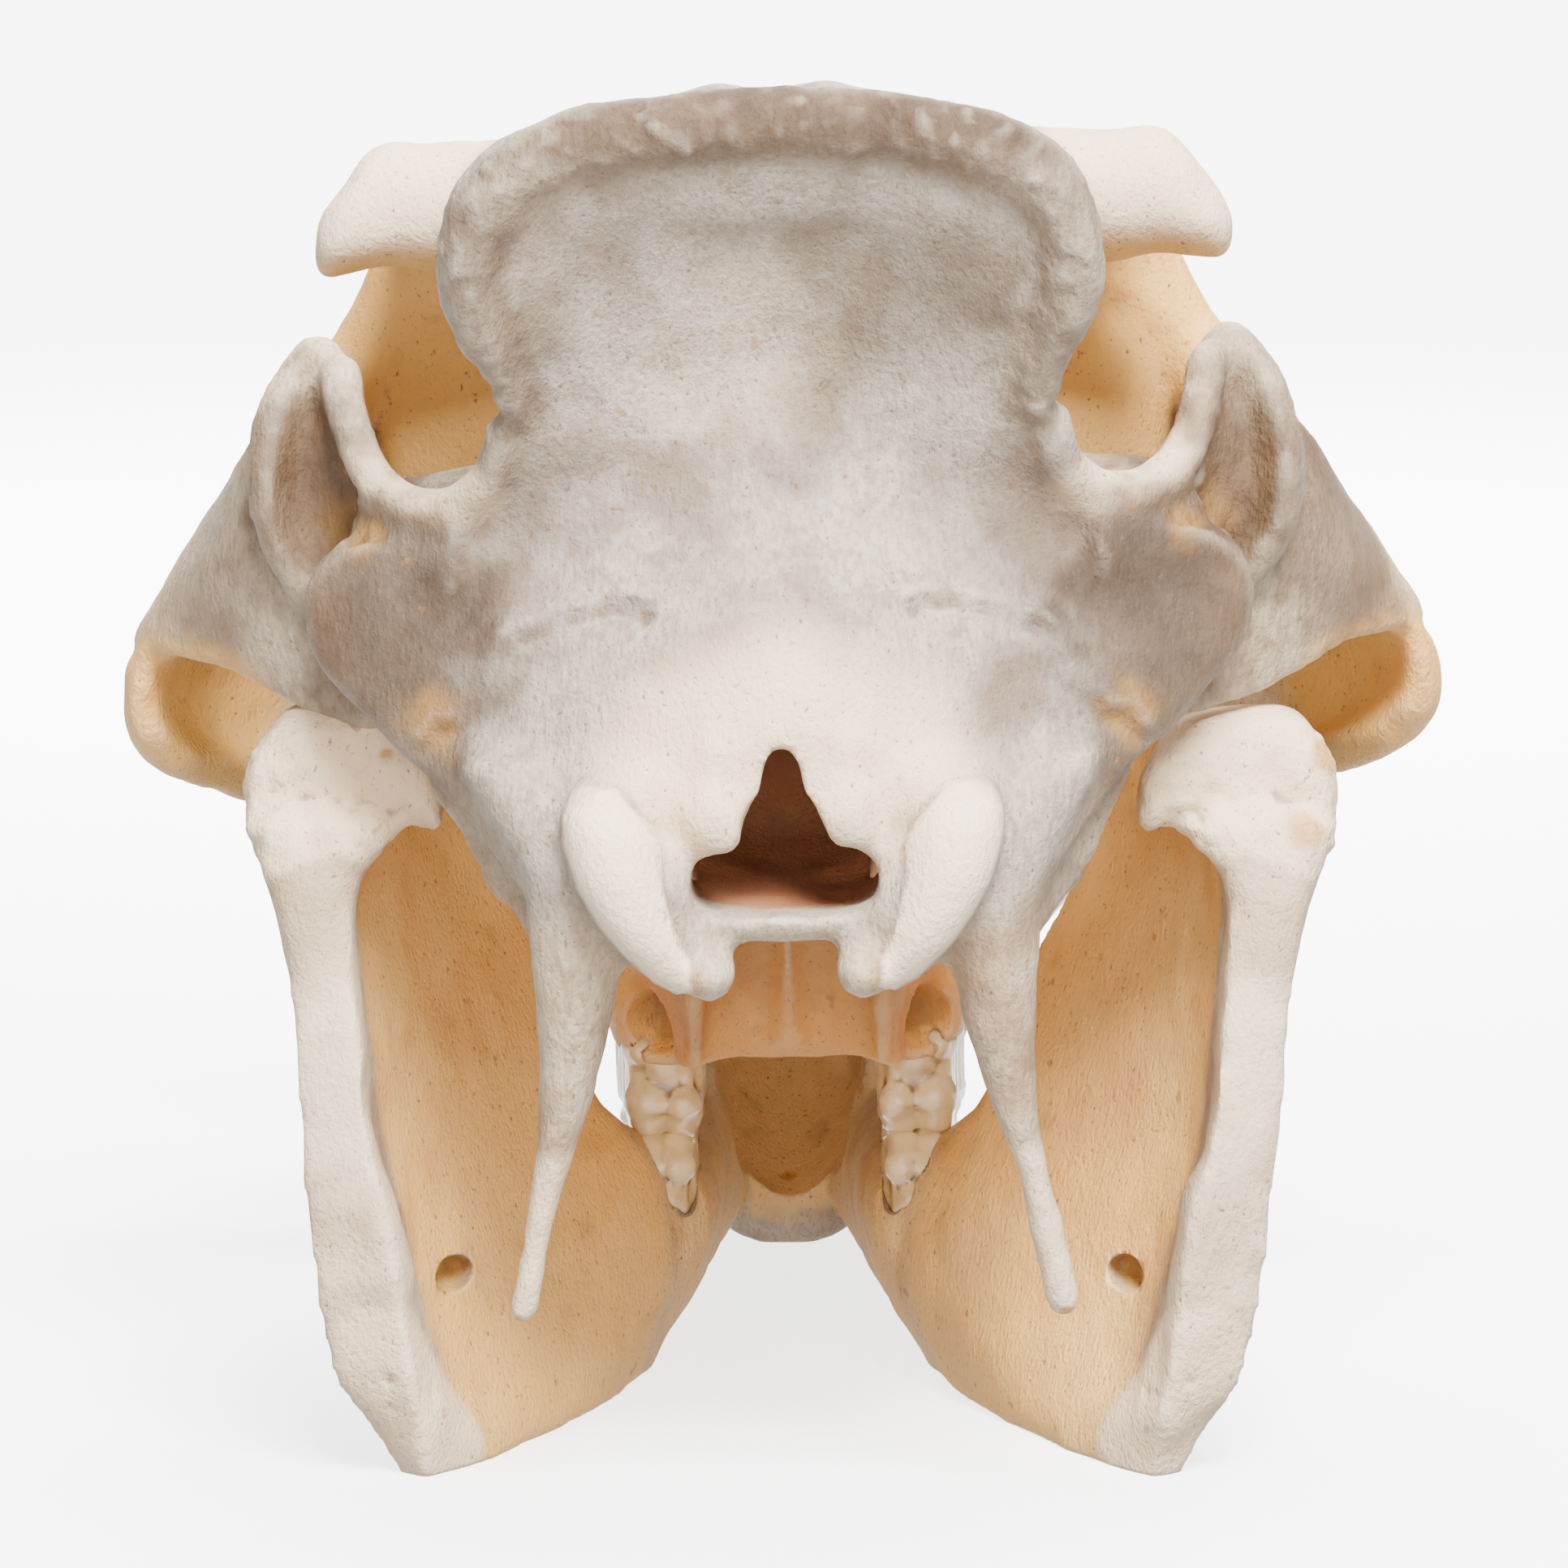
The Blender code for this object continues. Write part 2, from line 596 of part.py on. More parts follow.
def ramus():
    """One upright rear plate of the jaw, from the joint down to the angle."""
    rows = [  # rows run downward, and each row forward from the rear border
        [(70, -51, 108, 12), (69, -63, 107, 9), (66, -78, 106, 6), (62, -91, 112, 6),
         (58.5, -100, 112, 5), (56, -105, 111, 4)],
        [(73, -47, 99, 16), (69.5, -62, 98, 8), (65, -80, 96, 5), (60, -96, 97, 6),
         (56, -105, 97, 6), (53.5, -111, 96, 5)],
        [(73.3, -44, 89, 11.5), (69.5, -62, 88, 6), (64, -80, 85, 5), (57.5, -97, 84, 7),
         (51.5, -109, 83, 8), (47.5, -116, 82, 6)],
        [(72.4, -43, 80, 10.2), (68.5, -62, 78, 6), (62, -80, 75, 5), (54, -97, 73, 8),
         (47, -111, 72, 9), (43, -119, 71, 7)],
        [(71.3, -42, 67, 10.6), (67, -62, 65, 6), (59.5, -80, 62, 6), (50.5, -97, 60, 9.5),
         (43, -112, 59, 11), (38.5, -122, 58, 9)],
        [(70.4, -42, 54, 11.4), (65.5, -62, 51, 6), (57, -80, 48, 7), (47, -97, 46, 11),
         (38.8, -113, 45, 15), (36.5, -124, 44, 10.5)],
        [(68.5, -42, 42, 13), (63, -62, 39, 7.5), (53.5, -80, 36, 9), (43.5, -97, 34, 13),
         (34, -113, 33, 18), (27.5, -129, 31, 19)],
        [(66.7, -43, 29, 13.8), (60.5, -62, 26, 9), (50.5, -80, 23, 11), (40.5, -97, 21, 14),
         (31.5, -113, 20, 18), (25, -129, 19, 20)],
        [(64.6, -45, 17, 13), (57, -62, 13, 9.5), (46.5, -80, 11, 11.5), (37.5, -97, 10, 14),
         (31, -113, 9.5, 15), (26.5, -129, 9, 15)],
        [(61.5, -49, 7, 9.5), (52.5, -62, 4, 9.5), (44, -80, 3, 11), (36.5, -97, 4, 12),
         (31, -113, 4, 12), (27, -129, 4, 12)],
        [(59, -52, -1.5, 6), (50.5, -62, -1.5, 7), (43, -80, -1, 8), (36, -97, -0.5, 9),
         (31, -113, 0, 9), (27, -129, 0, 9)],
    ]
    condyle = (
        (55.5, -50, 108, 6.5, 6),
        (61, -52, 111.8, 8.5, 7.9),
        (70, -54, 112.8, 9, 8.4),
        (77.5, -54, 112.3, 8.2, 8.2),
        (81.8, -53, 109.5, 6.5, 6.5),
    )
    neck = (
        (71.5, -50, 64, 3, 4),
        (72.3, -48, 76, 4.4, 5),
        (73.6, -47, 88, 5.4, 5.5),
        (73.6, -47.5, 96, 8, 6.5),
        (71.8, -49, 103, 12.5, 7.5),
    )
    return [plate(rows, (44, 36)), spindle(condyle, "x", 2.8, ends=0.5), spindle(neck, "z", 2.6)]


def jaw_body():
    """One half of the jaw's body, from the ramus to the canine socket."""
    body = (
        (27, -126, 18.5, 11.5, 18.5, 22),
        (25, -142, 18, 10.8, 17.5, 20),
        (22.8, -165, 17.5, 10.6, 17, 14),
        (21, -190, 17.5, 10.2, 16.5, 8),
        (18.8, -212, 17.5, 9.8, 16.5, 3),
        (17.5, -236, 19, 10, 16.5),
        (20, -262, 28, 9, 14),
        (26, -284, 38, 9, 11),
        (29, -298, 44, 8, 8),
    )
    return [spindle(body, "y", 2.5)]


def symphysis():
    """The fused chin, which rises forward to the spatulate tip."""
    chin = (
        (0, -240, 14, 16, 14.5),
        (0, -258, 22, 20, 15.5),
        (0, -280, 32, 25, 14.5),
        (0, -300, 40, 27, 11),
        (0, -318, 46, 23, 7.5),
        (0, -332, 49.5, 18, 5),
    )
    return [spindle(chin, "y", 2.6)]


def build_mandible(bones, cutters):
    """The lower jaw as one bone, flat where it stands."""
    jaw = gathered("mandible", symphysis() + both(ramus() + jaw_body()), bones)
    fuse(jaw, VOXEL, 4)
    holes = [ball(53, -68, 28.7, 4, 7, 3.2), spindle(((24, -250, 26, 3, 3), (12, -236, 24, 3, 3)), "y")]
    trough = (
        (0, -198, 38, 11, 26),
        (0, -214, 37.5, 13, 28),
        (0, -232, 38, 14, 29),
        (0, -248, 43, 14.5, 29),
        (0, -264, 50, 14.5, 28),
        (0, -280, 58, 14, 24),
        (0, -298, 64, 14, 17),
    )
    hollow = gathered("jaw_hollows", both(holes) + [spindle(trough, "y")], cutters)
    fuse(hollow, VOXEL, 1)
    combine(jaw, hollow, "DIFFERENCE")
    keep_largest(jaw)
    return jaw


# Teeth and tusks.


def tusk(name, path, bones):
    """One tusk along a path of (x, y, z, radius)."""
    stations = [(x, y, z, r, r * 0.86) for x, y, z, r in path]
    obj = gathered(name, [spindle(stations, sides=16, steps=4)], bones)
    return obj


def upper_tusk(side):
    """The path of an upper tusk: out from its sheath, then up and in."""
    path = (
        (24, -278, 74, 11),
        (44, -282, 74, 12),
        (62, -286, 78, 12),
        (78, -290, 89, 11.5),
        (88, -293, 106, 10),
        (90, -294, 125, 7.5),
        (86, -294, 141, 4.5),
        (82, -293, 149, 1.8),
    )
    return [(side * x, y, z, r) for x, y, z, r in path]


def lower_tusk(side):
    """The path of a lower tusk, in front of the upper one."""
    path = (
        (22, -292, 42, 7),
        (36, -302, 47, 7.5),
        (49, -309, 57, 7.5),
        (59, -312, 71, 6.6),
        (66, -313, 86, 4.8),
        (70, -312, 99, 1.8),
    )
    return [(side * x, y, z, r) for x, y, z, r in path]


def cheek_row(name, side, crown, root, rear_root, girth, bones):
    """One row of cheek teeth as a single piece, from the third molar to the front premolar.

    The last molar is still coming through, so its rear lobe only reaches to `rear_root`.
    """
    lobes = (  # y, x, half length, half width
        (-127, 21, 6, 6),
        (-137, 21.5, 6.5, 6.8),
        (-148, 22, 6.5, 7),
        (-160, 22, 5.8, 7),
        (-170, 22, 5.8, 6.8),
        (-180, 21.8, 5.2, 6.5),
        (-189, 21.5, 5.2, 6.2),
        (-198, 21, 5, 5.4),
        (-207, 20.4, 4.8, 4.6),
    )
    shapes = []
    for count, (y, x, long, wide) in enumerate(lobes):
        inner = rear_root if count == 0 else root
        ends = ((side * x, y, crown, wide * girth, long), (side * x, y, inner, wide * girth, long))
        shapes.append(spindle(ends, "z", 2.8, 20, ends=0.2))
    obj = gathered(name, shapes, bones)
    fuse(obj, 1.0, 2)
    return obj


def incisors(name, teeth, bar, bones):
    """Incisors side by side, joined by the hidden bar of their roots."""
    shapes = [spindle(tooth, sides=14, steps=3) for tooth in teeth] + [spindle(bar, "x", sides=14)]
    obj = gathered(name, shapes, bones)
    fuse(obj, 0.9, 1)
    return obj


def lower_incisors(bones):
    """The six lower incisors, which lie forward from the tip of the jaw."""
    teeth = []
    for side in (LEFT, RIGHT):
        for x, reach in ((3.2, 0), (9.4, 2), (15.0, 8)):
            base = (side * x, -318 + reach * 0.4, 48.5, 3.4, 3)
            middle = (side * (x + 0.3), -334 + reach * 0.7, 53.5, 3.2, 2.6)
            tip = (side * (x + 0.4), -348 + reach, 57, 2.6, 1.6)
            teeth.append((base, middle, tip))
    bar = ((-15, -316, 48, 3, 2.6), (0, -319, 48, 3, 2.6), (15, -316, 48, 3, 2.6))
    return incisors("lower_incisors", teeth, bar, bones)


def upper_incisors(bones):
    """The one pair of upper incisors, curved in towards each other."""
    teeth = []
    for side in (LEFT, RIGHT):
        teeth.append(
            (
                (side * 10.5, -327, 75, 4.6, 4.2),
                (side * 10, -335, 68, 4.6, 4.2),
                (side * 7.5, -341, 62, 3.6, 3.2),
            )
        )
    bar = ((-10, -326, 75, 3, 3), (0, -324, 75, 3, 3), (10, -326, 75, 3, 3))
    return incisors("upper_incisors", teeth, bar, bones)


def socket(obj, tooth, cutters, gap):
    """Cuts room for another piece into a bone, wider than the piece by the gap."""
    space = bpy.data.objects.new("socket", tooth.data.copy())
    cutters.objects.link(space)
    grow = space.modifiers.new("grow", "DISPLACE")
    grow.mid_level = 0.0
    grow.strength = gap * MM
    settle(space)
    combine(obj, space, "DIFFERENCE")
    keep_largest(obj)


def stand(obj, cutters):
    """Cuts the underside of the jaw flat at the floor."""
    bm = bmesh.new()
    bmesh.ops.create_cube(bm, size=1.0)
    place = Matrix.Translation((0, -0.17, -0.01)) @ Matrix.Diagonal((0.3, 0.5, 0.02, 1.0))
    bmesh.ops.transform(bm, matrix=place, verts=bm.verts)
    mesh = bpy.data.meshes.new("floor")
    bm.to_mesh(mesh)
    bm.free()
    combine(obj, gathered("floor", [mesh], cutters), "DIFFERENCE")


def place_on_jaw(bones):
    """Leans the cranium and its teeth on the jaw, and shifts the jaw and its teeth under them."""
    pivot = Matrix.Translation((0, 0, ROLL_HEIGHT * MM))
    lean = pivot @ Matrix.Rotation(math.radians(CRANIUM_ROLL), 4, "Y") @ pivot.inverted()
    shift = Matrix.Translation((JAW_SHIFT * MM, 0, 0))
    for obj in bones.objects:
        upper = obj.name.startswith(("cranium", "upper"))
        obj.data.transform(lean if upper else shift)


def build_dentition(bones):
    """Every tooth node, keyed by its name."""
    made = {
        "upper_tusk_left": tusk("upper_tusk_left", upper_tusk(LEFT), bones),
        "upper_tusk_right": tusk("upper_tusk_right", upper_tusk(RIGHT), bones),
        "lower_tusk_left": tusk("lower_tusk_left", lower_tusk(LEFT), bones),
        "lower_tusk_right": tusk("lower_tusk_right", lower_tusk(RIGHT), bones),
        "upper_incisors": upper_incisors(bones),
        "lower_incisors": lower_incisors(bones),
    }
    for side, word in ((LEFT, "left"), (RIGHT, "right")):
        upper, lower = f"upper_cheek_teeth_{word}", f"lower_cheek_teeth_{word}"
        made[upper] = cheek_row(upper, side, 42.9, 62, 54, 1.0, bones)
        made[lower] = cheek_row(lower, side, 39.2, 22, 28, LOWER_GIRTH, bones)
    return made


def on_origin(bones):
    """Moves every piece so that the origin is under the middle of the whole skull."""
    corners = np.array([tuple(vert.co) for obj in bones.objects for vert in obj.data.vertices])
    middle = (corners.min(axis=0) + corners.max(axis=0)) / 2
    for obj in bones.objects:
        obj.data.transform(Matrix.Translation((-middle[0], -middle[1], 0)))


def finish(bones, teeth):
    """Gives each piece its own material."""
    for obj in bones.objects:
        tooth = obj.name in teeth
        made = material(f"{obj.name}_finish", IVORY if tooth else BONE, 0.35 if tooth else 0.7)
        obj.data.materials.clear()
        obj.data.materials.append(made)


def main():
    """Builds the nodes and puts them on the part's origin."""
    clear_scene()
    bones = collection("warthog_skull")
    cutters = collection("cutters")
    skull = build_cranium(bones, cutters)
    jaw = build_mandible(bones, cutters)
    teeth = build_dentition(bones)
    coarsen(skull, CRANIUM_TRIANGLES)
    coarsen(jaw, JAW_TRIANGLES)
    for name, tooth in teeth.items():
        coarsen(tooth, TOOTH_TRIANGLES)
        socket(jaw if name.startswith("lower") else skull, tooth, cutters, SOCKET_GAP)
    place_on_jaw(bones)
    stand(jaw, cutters)
    socket(skull, jaw, cutters, SOCKET_GAP)
    on_origin(bones)
    finish(bones, teeth)


main()
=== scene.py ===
import logging
import math
from dataclasses import dataclass
from enum import Enum
from typing import Iterable, Sequence

import bmesh
import bpy
import numpy as np
from mathutils import Matrix, Vector


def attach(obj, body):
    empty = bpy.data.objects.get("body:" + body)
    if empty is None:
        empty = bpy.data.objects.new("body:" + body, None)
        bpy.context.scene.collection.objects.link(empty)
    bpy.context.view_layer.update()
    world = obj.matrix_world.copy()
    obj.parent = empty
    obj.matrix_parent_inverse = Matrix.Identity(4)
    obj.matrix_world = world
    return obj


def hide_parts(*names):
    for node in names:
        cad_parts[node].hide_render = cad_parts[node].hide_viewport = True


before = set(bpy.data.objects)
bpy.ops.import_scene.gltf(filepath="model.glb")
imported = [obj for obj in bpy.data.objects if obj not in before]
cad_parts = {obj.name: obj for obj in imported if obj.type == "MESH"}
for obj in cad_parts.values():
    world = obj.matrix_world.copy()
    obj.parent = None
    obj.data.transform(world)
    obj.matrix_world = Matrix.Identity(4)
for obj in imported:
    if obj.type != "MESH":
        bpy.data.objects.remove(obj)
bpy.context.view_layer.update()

MM = 0.001
SEED = 7
CAP_TURNS = (0.55, 1.05, 1.4)  # radians round a rounded end, one for each of its sections
LEAST_PLATE = 0.4  # no plate is thinner than this, in millimetres
ROOM_GAP = 0.3  # from a tooth to the wall of its socket, in millimetres
HASH_AXES = (73856093, 19349663, 83492791)  # large odd numbers that scatter the noise's lattice
HASH_SEED = 2654435761
LEDGE_WIDTH, LEDGE_RISE = 3.6, 1.1  # of the ragged ledge above a suture, in millimetres
MIX_SHARE, MIX_A, MIX_B, MIX_RESULT = 0, 6, 7, 2  # the sockets of a Mix node that mixes colours

# The skull is laid out in millimetres from the rear of the occipital condyles, snout towards -Y and
# the animal's left towards +X. The frame's origin lies this far from there.
FRAME_ORIGIN = Vector((0.36, -171.96, 0.0))
CRANIUM_ROLL = 1.2  # degrees by which the cranium leans to the left on the jaw
ROLL_HEIGHT = 100.0
JAW_SHIFT = -1.0

Row = Sequence[float]
log = logging.getLogger("skull")


class Axis(Enum):
    """The axis that a spindle's sections are square to."""

    X = "x"
    Y = "y"
    Z = "z"
    PATH = "path"


class Joining(Enum):
    """What one skin does to another."""

    ADD = "UNION"
    CUT = "DIFFERENCE"


class Blend(Enum):
    """How a tint is laid over what is below it."""

    COVER = "MIX"
    DARKEN = "MULTIPLY"


# Shaping


def spread(count: int, samples: int) -> np.ndarray:
    """Catmull-Rom weights that carry control values to even samples.

    Args:
        count: How many control values there are.
        samples: How many samples to take from the first to the last of them.

    Returns:
        A matrix of samples by count.
    """
    weights = np.zeros((samples, count))
    for row, t in enumerate(np.linspace(0, count - 1, samples)):
        i = min(int(t), count - 2)
        f = t - i
        blend = (
            -0.5 * f**3 + f**2 - 0.5 * f,
            1.5 * f**3 - 2.5 * f**2 + 1,
            -1.5 * f**3 + 2 * f**2 + 0.5 * f,
            0.5 * f**3 - 0.5 * f**2,
        )
        for k, share in zip(range(i - 1, i + 3), blend):
            if k < 0:
                weights[row, 0] += 2 * share
                weights[row, 1] -= share
            elif k >= count:
                weights[row, -1] += 2 * share
                weights[row, -2] -= share
            else:
                weights[row, k] += share
    return weights


def section_axes(axis: Axis, tangent: np.ndarray) -> tuple[np.ndarray, np.ndarray]:
    """The width and height directions of a section.

    Args:
        axis: What the section is square to.
        tangent: The direction of the path there, which only Axis.PATH reads.

    Returns:
        Two unit vectors.
    """
    if axis is Axis.Y:
        return np.array((1.0, 0, 0)), np.array((0, 0, 1.0))
    if axis is Axis.Z:
        return np.array((1.0, 0, 0)), np.array((0, 1.0, 0))
    if axis is Axis.X:
        return np.array((0, 1.0, 0)), np.array((0, 0, 1.0))
    up = np.array((0, 0, 1.0)) if abs(tangent[2]) < 0.8 else np.array((0, 1.0, 0))
    side = np.cross(tangent, up)
    side /= np.linalg.norm(side)
    return side, np.cross(side, tangent)


def to_mesh(name: str, bm: bmesh.types.BMesh) -> bpy.types.Mesh:
    """Turns a finished shape into a mesh.

    Args:
        name: The mesh's name.
        bm: The shape, which is freed.

    Returns:
        The mesh.
    """
    mesh = bpy.data.meshes.new(name)
    bm.to_mesh(mesh)
    bm.free()
    return mesh


def put(name: str, data: bpy.types.ID) -> bpy.types.Object:
    """Puts a mesh, light or camera in the scene.

    Args:
        name: The object's name.
        data: What it shows or holds.

    Returns:
        The object, at the scene's origin.
    """
    obj = bpy.data.objects.new(name, data)
    bpy.context.scene.collection.objects.link(obj)
    return obj


class Form:
    """A heap of closed shapes in millimetres, which is welded into one skin."""

    def __init__(self, name: str) -> None:
        """Starts an empty heap.

        Args:
            name: The name of the object that it becomes.
        """
        self.name = name
        self.heap = bmesh.new()

    def take(self, bm: bmesh.types.BMesh) -> None:
        """Moves a finished shape into the heap.

        Args:
            bm: The shape, which is freed.
        """
        bmesh.ops.recalc_face_normals(bm, faces=bm.faces)
        mesh = to_mesh("shape", bm)
        self.heap.from_mesh(mesh)
        bpy.data.meshes.remove(mesh)

    def spindle(
        self,
        stations: Sequence[Row],
        axis: Axis = Axis.PATH,
        power: float = 2.0,
        sides: int = 28,
        steps: int = 5,
        ends: float = 0.7,
    ) -> None:
        """Adds a round-ended loft through stations.

        Args:
            stations: Rows of x, y, z, half width, half height and, if wanted, lean in degrees.
            axis: What the sections are square to.
            power: 2 for an ellipse, more for a squarer section.
            sides: Points round a section.
            steps: Sections from one station to the next.
            ends: How far the ends stand out, as a share of the last section's smaller half size.
        """
        given = np.array([list(s) + [0.0] * (6 - len(s)) for s in stations], float)
        rows = spread(len(given), (len(given) - 1) * steps + 1) @ given
        centres = rows[:, :3]
        tangents = np.gradient(centres, axis=0)
        turn = np.linspace(0, 2 * math.pi, sides, endpoint=False)
        across = np.sign(np.cos(turn)) * np.abs(np.cos(turn)) ** (2 / power)
        along = np.sign(np.sin(turn)) * np.abs(np.sin(turn)) ** (2 / power)
        rings: list[np.ndarray] = []
        for centre, tangent, (wide, high, lean) in zip(centres, tangents, rows[:, 3:]):
            side, rise = section_axes(axis, tangent / max(np.linalg.norm(tangent), 1e-9))
            c, s = math.cos(math.radians(lean)), math.sin(math.radians(lean))
            across_axis, along_axis = side * c + rise * s, rise * c - side * s
            rings.append(
                centre + np.outer(across * wide, across_axis) + np.outer(along * high, along_axis)
            )
        for end, beyond in ((0, 1), (-1, -2)):
            reach = ends * min(abs(rows[end, 3]), abs(rows[end, 4]))
            way = centres[end] - centres[beyond]
            way = way / max(np.linalg.norm(way), 1e-9)
            caps = [
                centres[end] + (rings[end] - centres[end]) * math.cos(a) + way * reach * math.sin(a)
                for a in CAP_TURNS
            ]
            rings = caps[::-1] + rings if end == 0 else rings + caps
        self.loft(rings)

    def loft(self, rings: Sequence[np.ndarray]) -> None:
        """Adds a closed skin over rings of points.

        Args:
            rings: The rings from one end to the other, each with the same number of points.
        """
        bm = bmesh.new()
        loops = []
        for ring in rings:
            verts = bmesh.ops.create_circle(bm, radius=1.0, segments=len(ring))["verts"]
            for vert, place in zip(verts, ring):
                vert.co = place
            loops.append(list(dict.fromkeys(e for vert in verts for e in vert.link_edges)))
        for low, high in zip(loops, loops[1:]):
            bmesh.ops.bridge_loops(bm, edges=low + high)
        for end in (loops[0], loops[-1]):
            bmesh.ops.contextual_create(bm, geom=end)
        self.take(bm)

    def plate(self, rows: Sequence[Sequence[Row]], samples: tuple[int, int] = (22, 16)) -> None:
        """Adds a curved plate through a grid of control points.

        Args:
            rows: Rows of points, each of x, y, z and thickness.
            samples: How many points the plate has down and over.
        """
        grid = np.array(rows, float)
        down, over = spread(grid.shape[0], samples[0]), spread(grid.shape[1], samples[1])
        fine = np.einsum("ia,abk,jb->ijk", down, grid, over)
        middle, thick = fine[..., :3], np.maximum(fine[..., 3:], LEAST_PLATE)
        normal = np.cross(np.gradient(middle, axis=0), np.gradient(middle, axis=1))
        normal /= np.maximum(np.linalg.norm(normal, axis=2, keepdims=True), 1e-9)
        bm = bmesh.new()
        rims: list[bmesh.types.BMEdge] = []
        for face_points in (middle + normal * thick / 2, middle - normal * thick / 2):
            verts = bmesh.ops.create_grid(
                bm, x_segments=samples[1] - 1, y_segments=samples[0] - 1, size=1.0
            )["verts"]
            for vert, place in zip(verts, face_points.reshape(-1, 3)):
                vert.co = place
            rims += [e for e in dict.fromkeys(e for v in verts for e in v.link_edges) if e.is_boundary]
        bmesh.ops.bridge_loops(bm, edges=rims)
        self.take(bm)

    def ball(self, x: float, y: float, z: float, rx: float, ry: float, rz: float,
             lean: float = 0.0) -> None:
        """Adds an ellipsoid.

        Args:
            x: Centre across.
            y: Centre along.
            z: Centre height.
            rx: Half width.
            ry: Half length.
            rz: Half height.
            lean: Turn about Y in degrees.
        """
        bm = bmesh.new()
        bmesh.ops.create_uvsphere(bm, u_segments=28, v_segments=18, radius=1.0)
        turned = Matrix.Rotation(math.radians(lean), 4, "Y")
        place = Matrix.Translation((x, y, z)) @ turned @ Matrix.Diagonal((rx, ry, rz, 1.0))
        bmesh.ops.transform(bm, matrix=place, verts=bm.verts)
        self.take(bm)

    def mirror(self) -> None:
        """Adds the mirror image of everything that is in the heap so far."""
        bm = self.heap.copy()
        bmesh.ops.scale(bm, vec=(-1, 1, 1), verts=bm.verts)
        bmesh.ops.reverse_faces(bm, faces=bm.faces)
        self.take(bm)

    def skin(self, voxel: float, smoothing: int) -> bpy.types.Object:
        """Welds the heap into one object in metres.

        Args:
            voxel: The size of the remeshing grid in millimetres.
            smoothing: How many times the creases are eased.

        Returns:
            The object, which lies in the scene.
        """
        bmesh.ops.scale(self.heap, vec=(MM, MM, MM), verts=self.heap.verts)
        obj = put(self.name, to_mesh(self.name, self.heap))
        weld(obj, voxel, smoothing)
        return obj


def settle(obj: bpy.types.Object) -> None:
    """Applies an object's modifiers.

    Args:
        obj: The object.
    """
    bpy.context.view_layer.update()
    graph = bpy.context.evaluated_depsgraph_get()
    mesh = bpy.data.meshes.new_from_object(obj.evaluated_get(graph))
    old = obj.data
    obj.modifiers.clear()
    obj.data = mesh
    bpy.data.meshes.remove(old)


def weld(obj: bpy.types.Object, voxel: float, smoothing: int) -> None:
    """Remeshes an object into one skin and eases it.

    Args:
        obj: The object.
        voxel: The grid in millimetres.
        smoothing: How many times to ease.
    """
    remesh = obj.modifiers.new("weld", "REMESH")
    remesh.mode = "VOXEL"
    remesh.voxel_size = voxel * MM
    ease = obj.modifiers.new("ease", "SMOOTH")
    ease.factor = 0.5
    ease.iterations = smoothing
    settle(obj)


def combine(obj: bpy.types.Object, other: bpy.types.Object, how: Joining) -> None:
    """Joins or cuts one skin with another, which is removed.

    Args:
        obj: The skin that stays.
        other: The second skin.
        how: What the second does to the first.
    """
    step = obj.modifiers.new("combine", "BOOLEAN")
    step.operation = how.value
    step.solver = "MANIFOLD"
    step.object = other
    settle(obj)
    bpy.data.objects.remove(other, do_unlink=True)


def lattice_noise(points: np.ndarray, cell: float, seed: int = 0) -> np.ndarray:
    """Smooth random values in space.

    Args:
        points: Places in millimetres, one row each.
        cell: The size of a lump in millimetres.
        seed: Another seed gives other lumps.

    Returns:
        One value from -1 to 1 for each place.
    """
    scaled = points / cell
    low = np.floor(scaled).astype(np.int64)
    part = scaled - low
    part = part * part * (3 - 2 * part)
    total = np.zeros(len(points))
    for corner in np.ndindex(2, 2, 2):
        key = (low + np.array(corner)) * np.array(HASH_AXES)
        mixed = key[:, 0] ^ key[:, 1] ^ key[:, 2]
        mixed = (mixed ^ (seed * HASH_SEED)) & 0x7FFFFFFF
        mixed = ((mixed >> 13) ^ mixed) * 60493 & 0x7FFFFFFF
        mixed = ((mixed >> 11) ^ mixed) * 19990303 & 0x7FFFFFFF
        value = (mixed % 65536) / 32767.5 - 1
        share = np.prod(np.where(np.array(corner) == 1, part, 1 - part), axis=1)
        total += value * share
    return total


def ramp(values: np.ndarray, start: float, end: float) -> np.ndarray:
    """A smooth step from 0 at the start to 1 at the end.

    Args:
        values: The values to read.
        start: Where the step starts.
        end: Where it ends, which may be the lower of the two.

    Returns:
        Values from 0 to 1.
    """
    t = np.clip((values - start) / (end - start), 0, 1)
    return t * t * (3 - 2 * t)


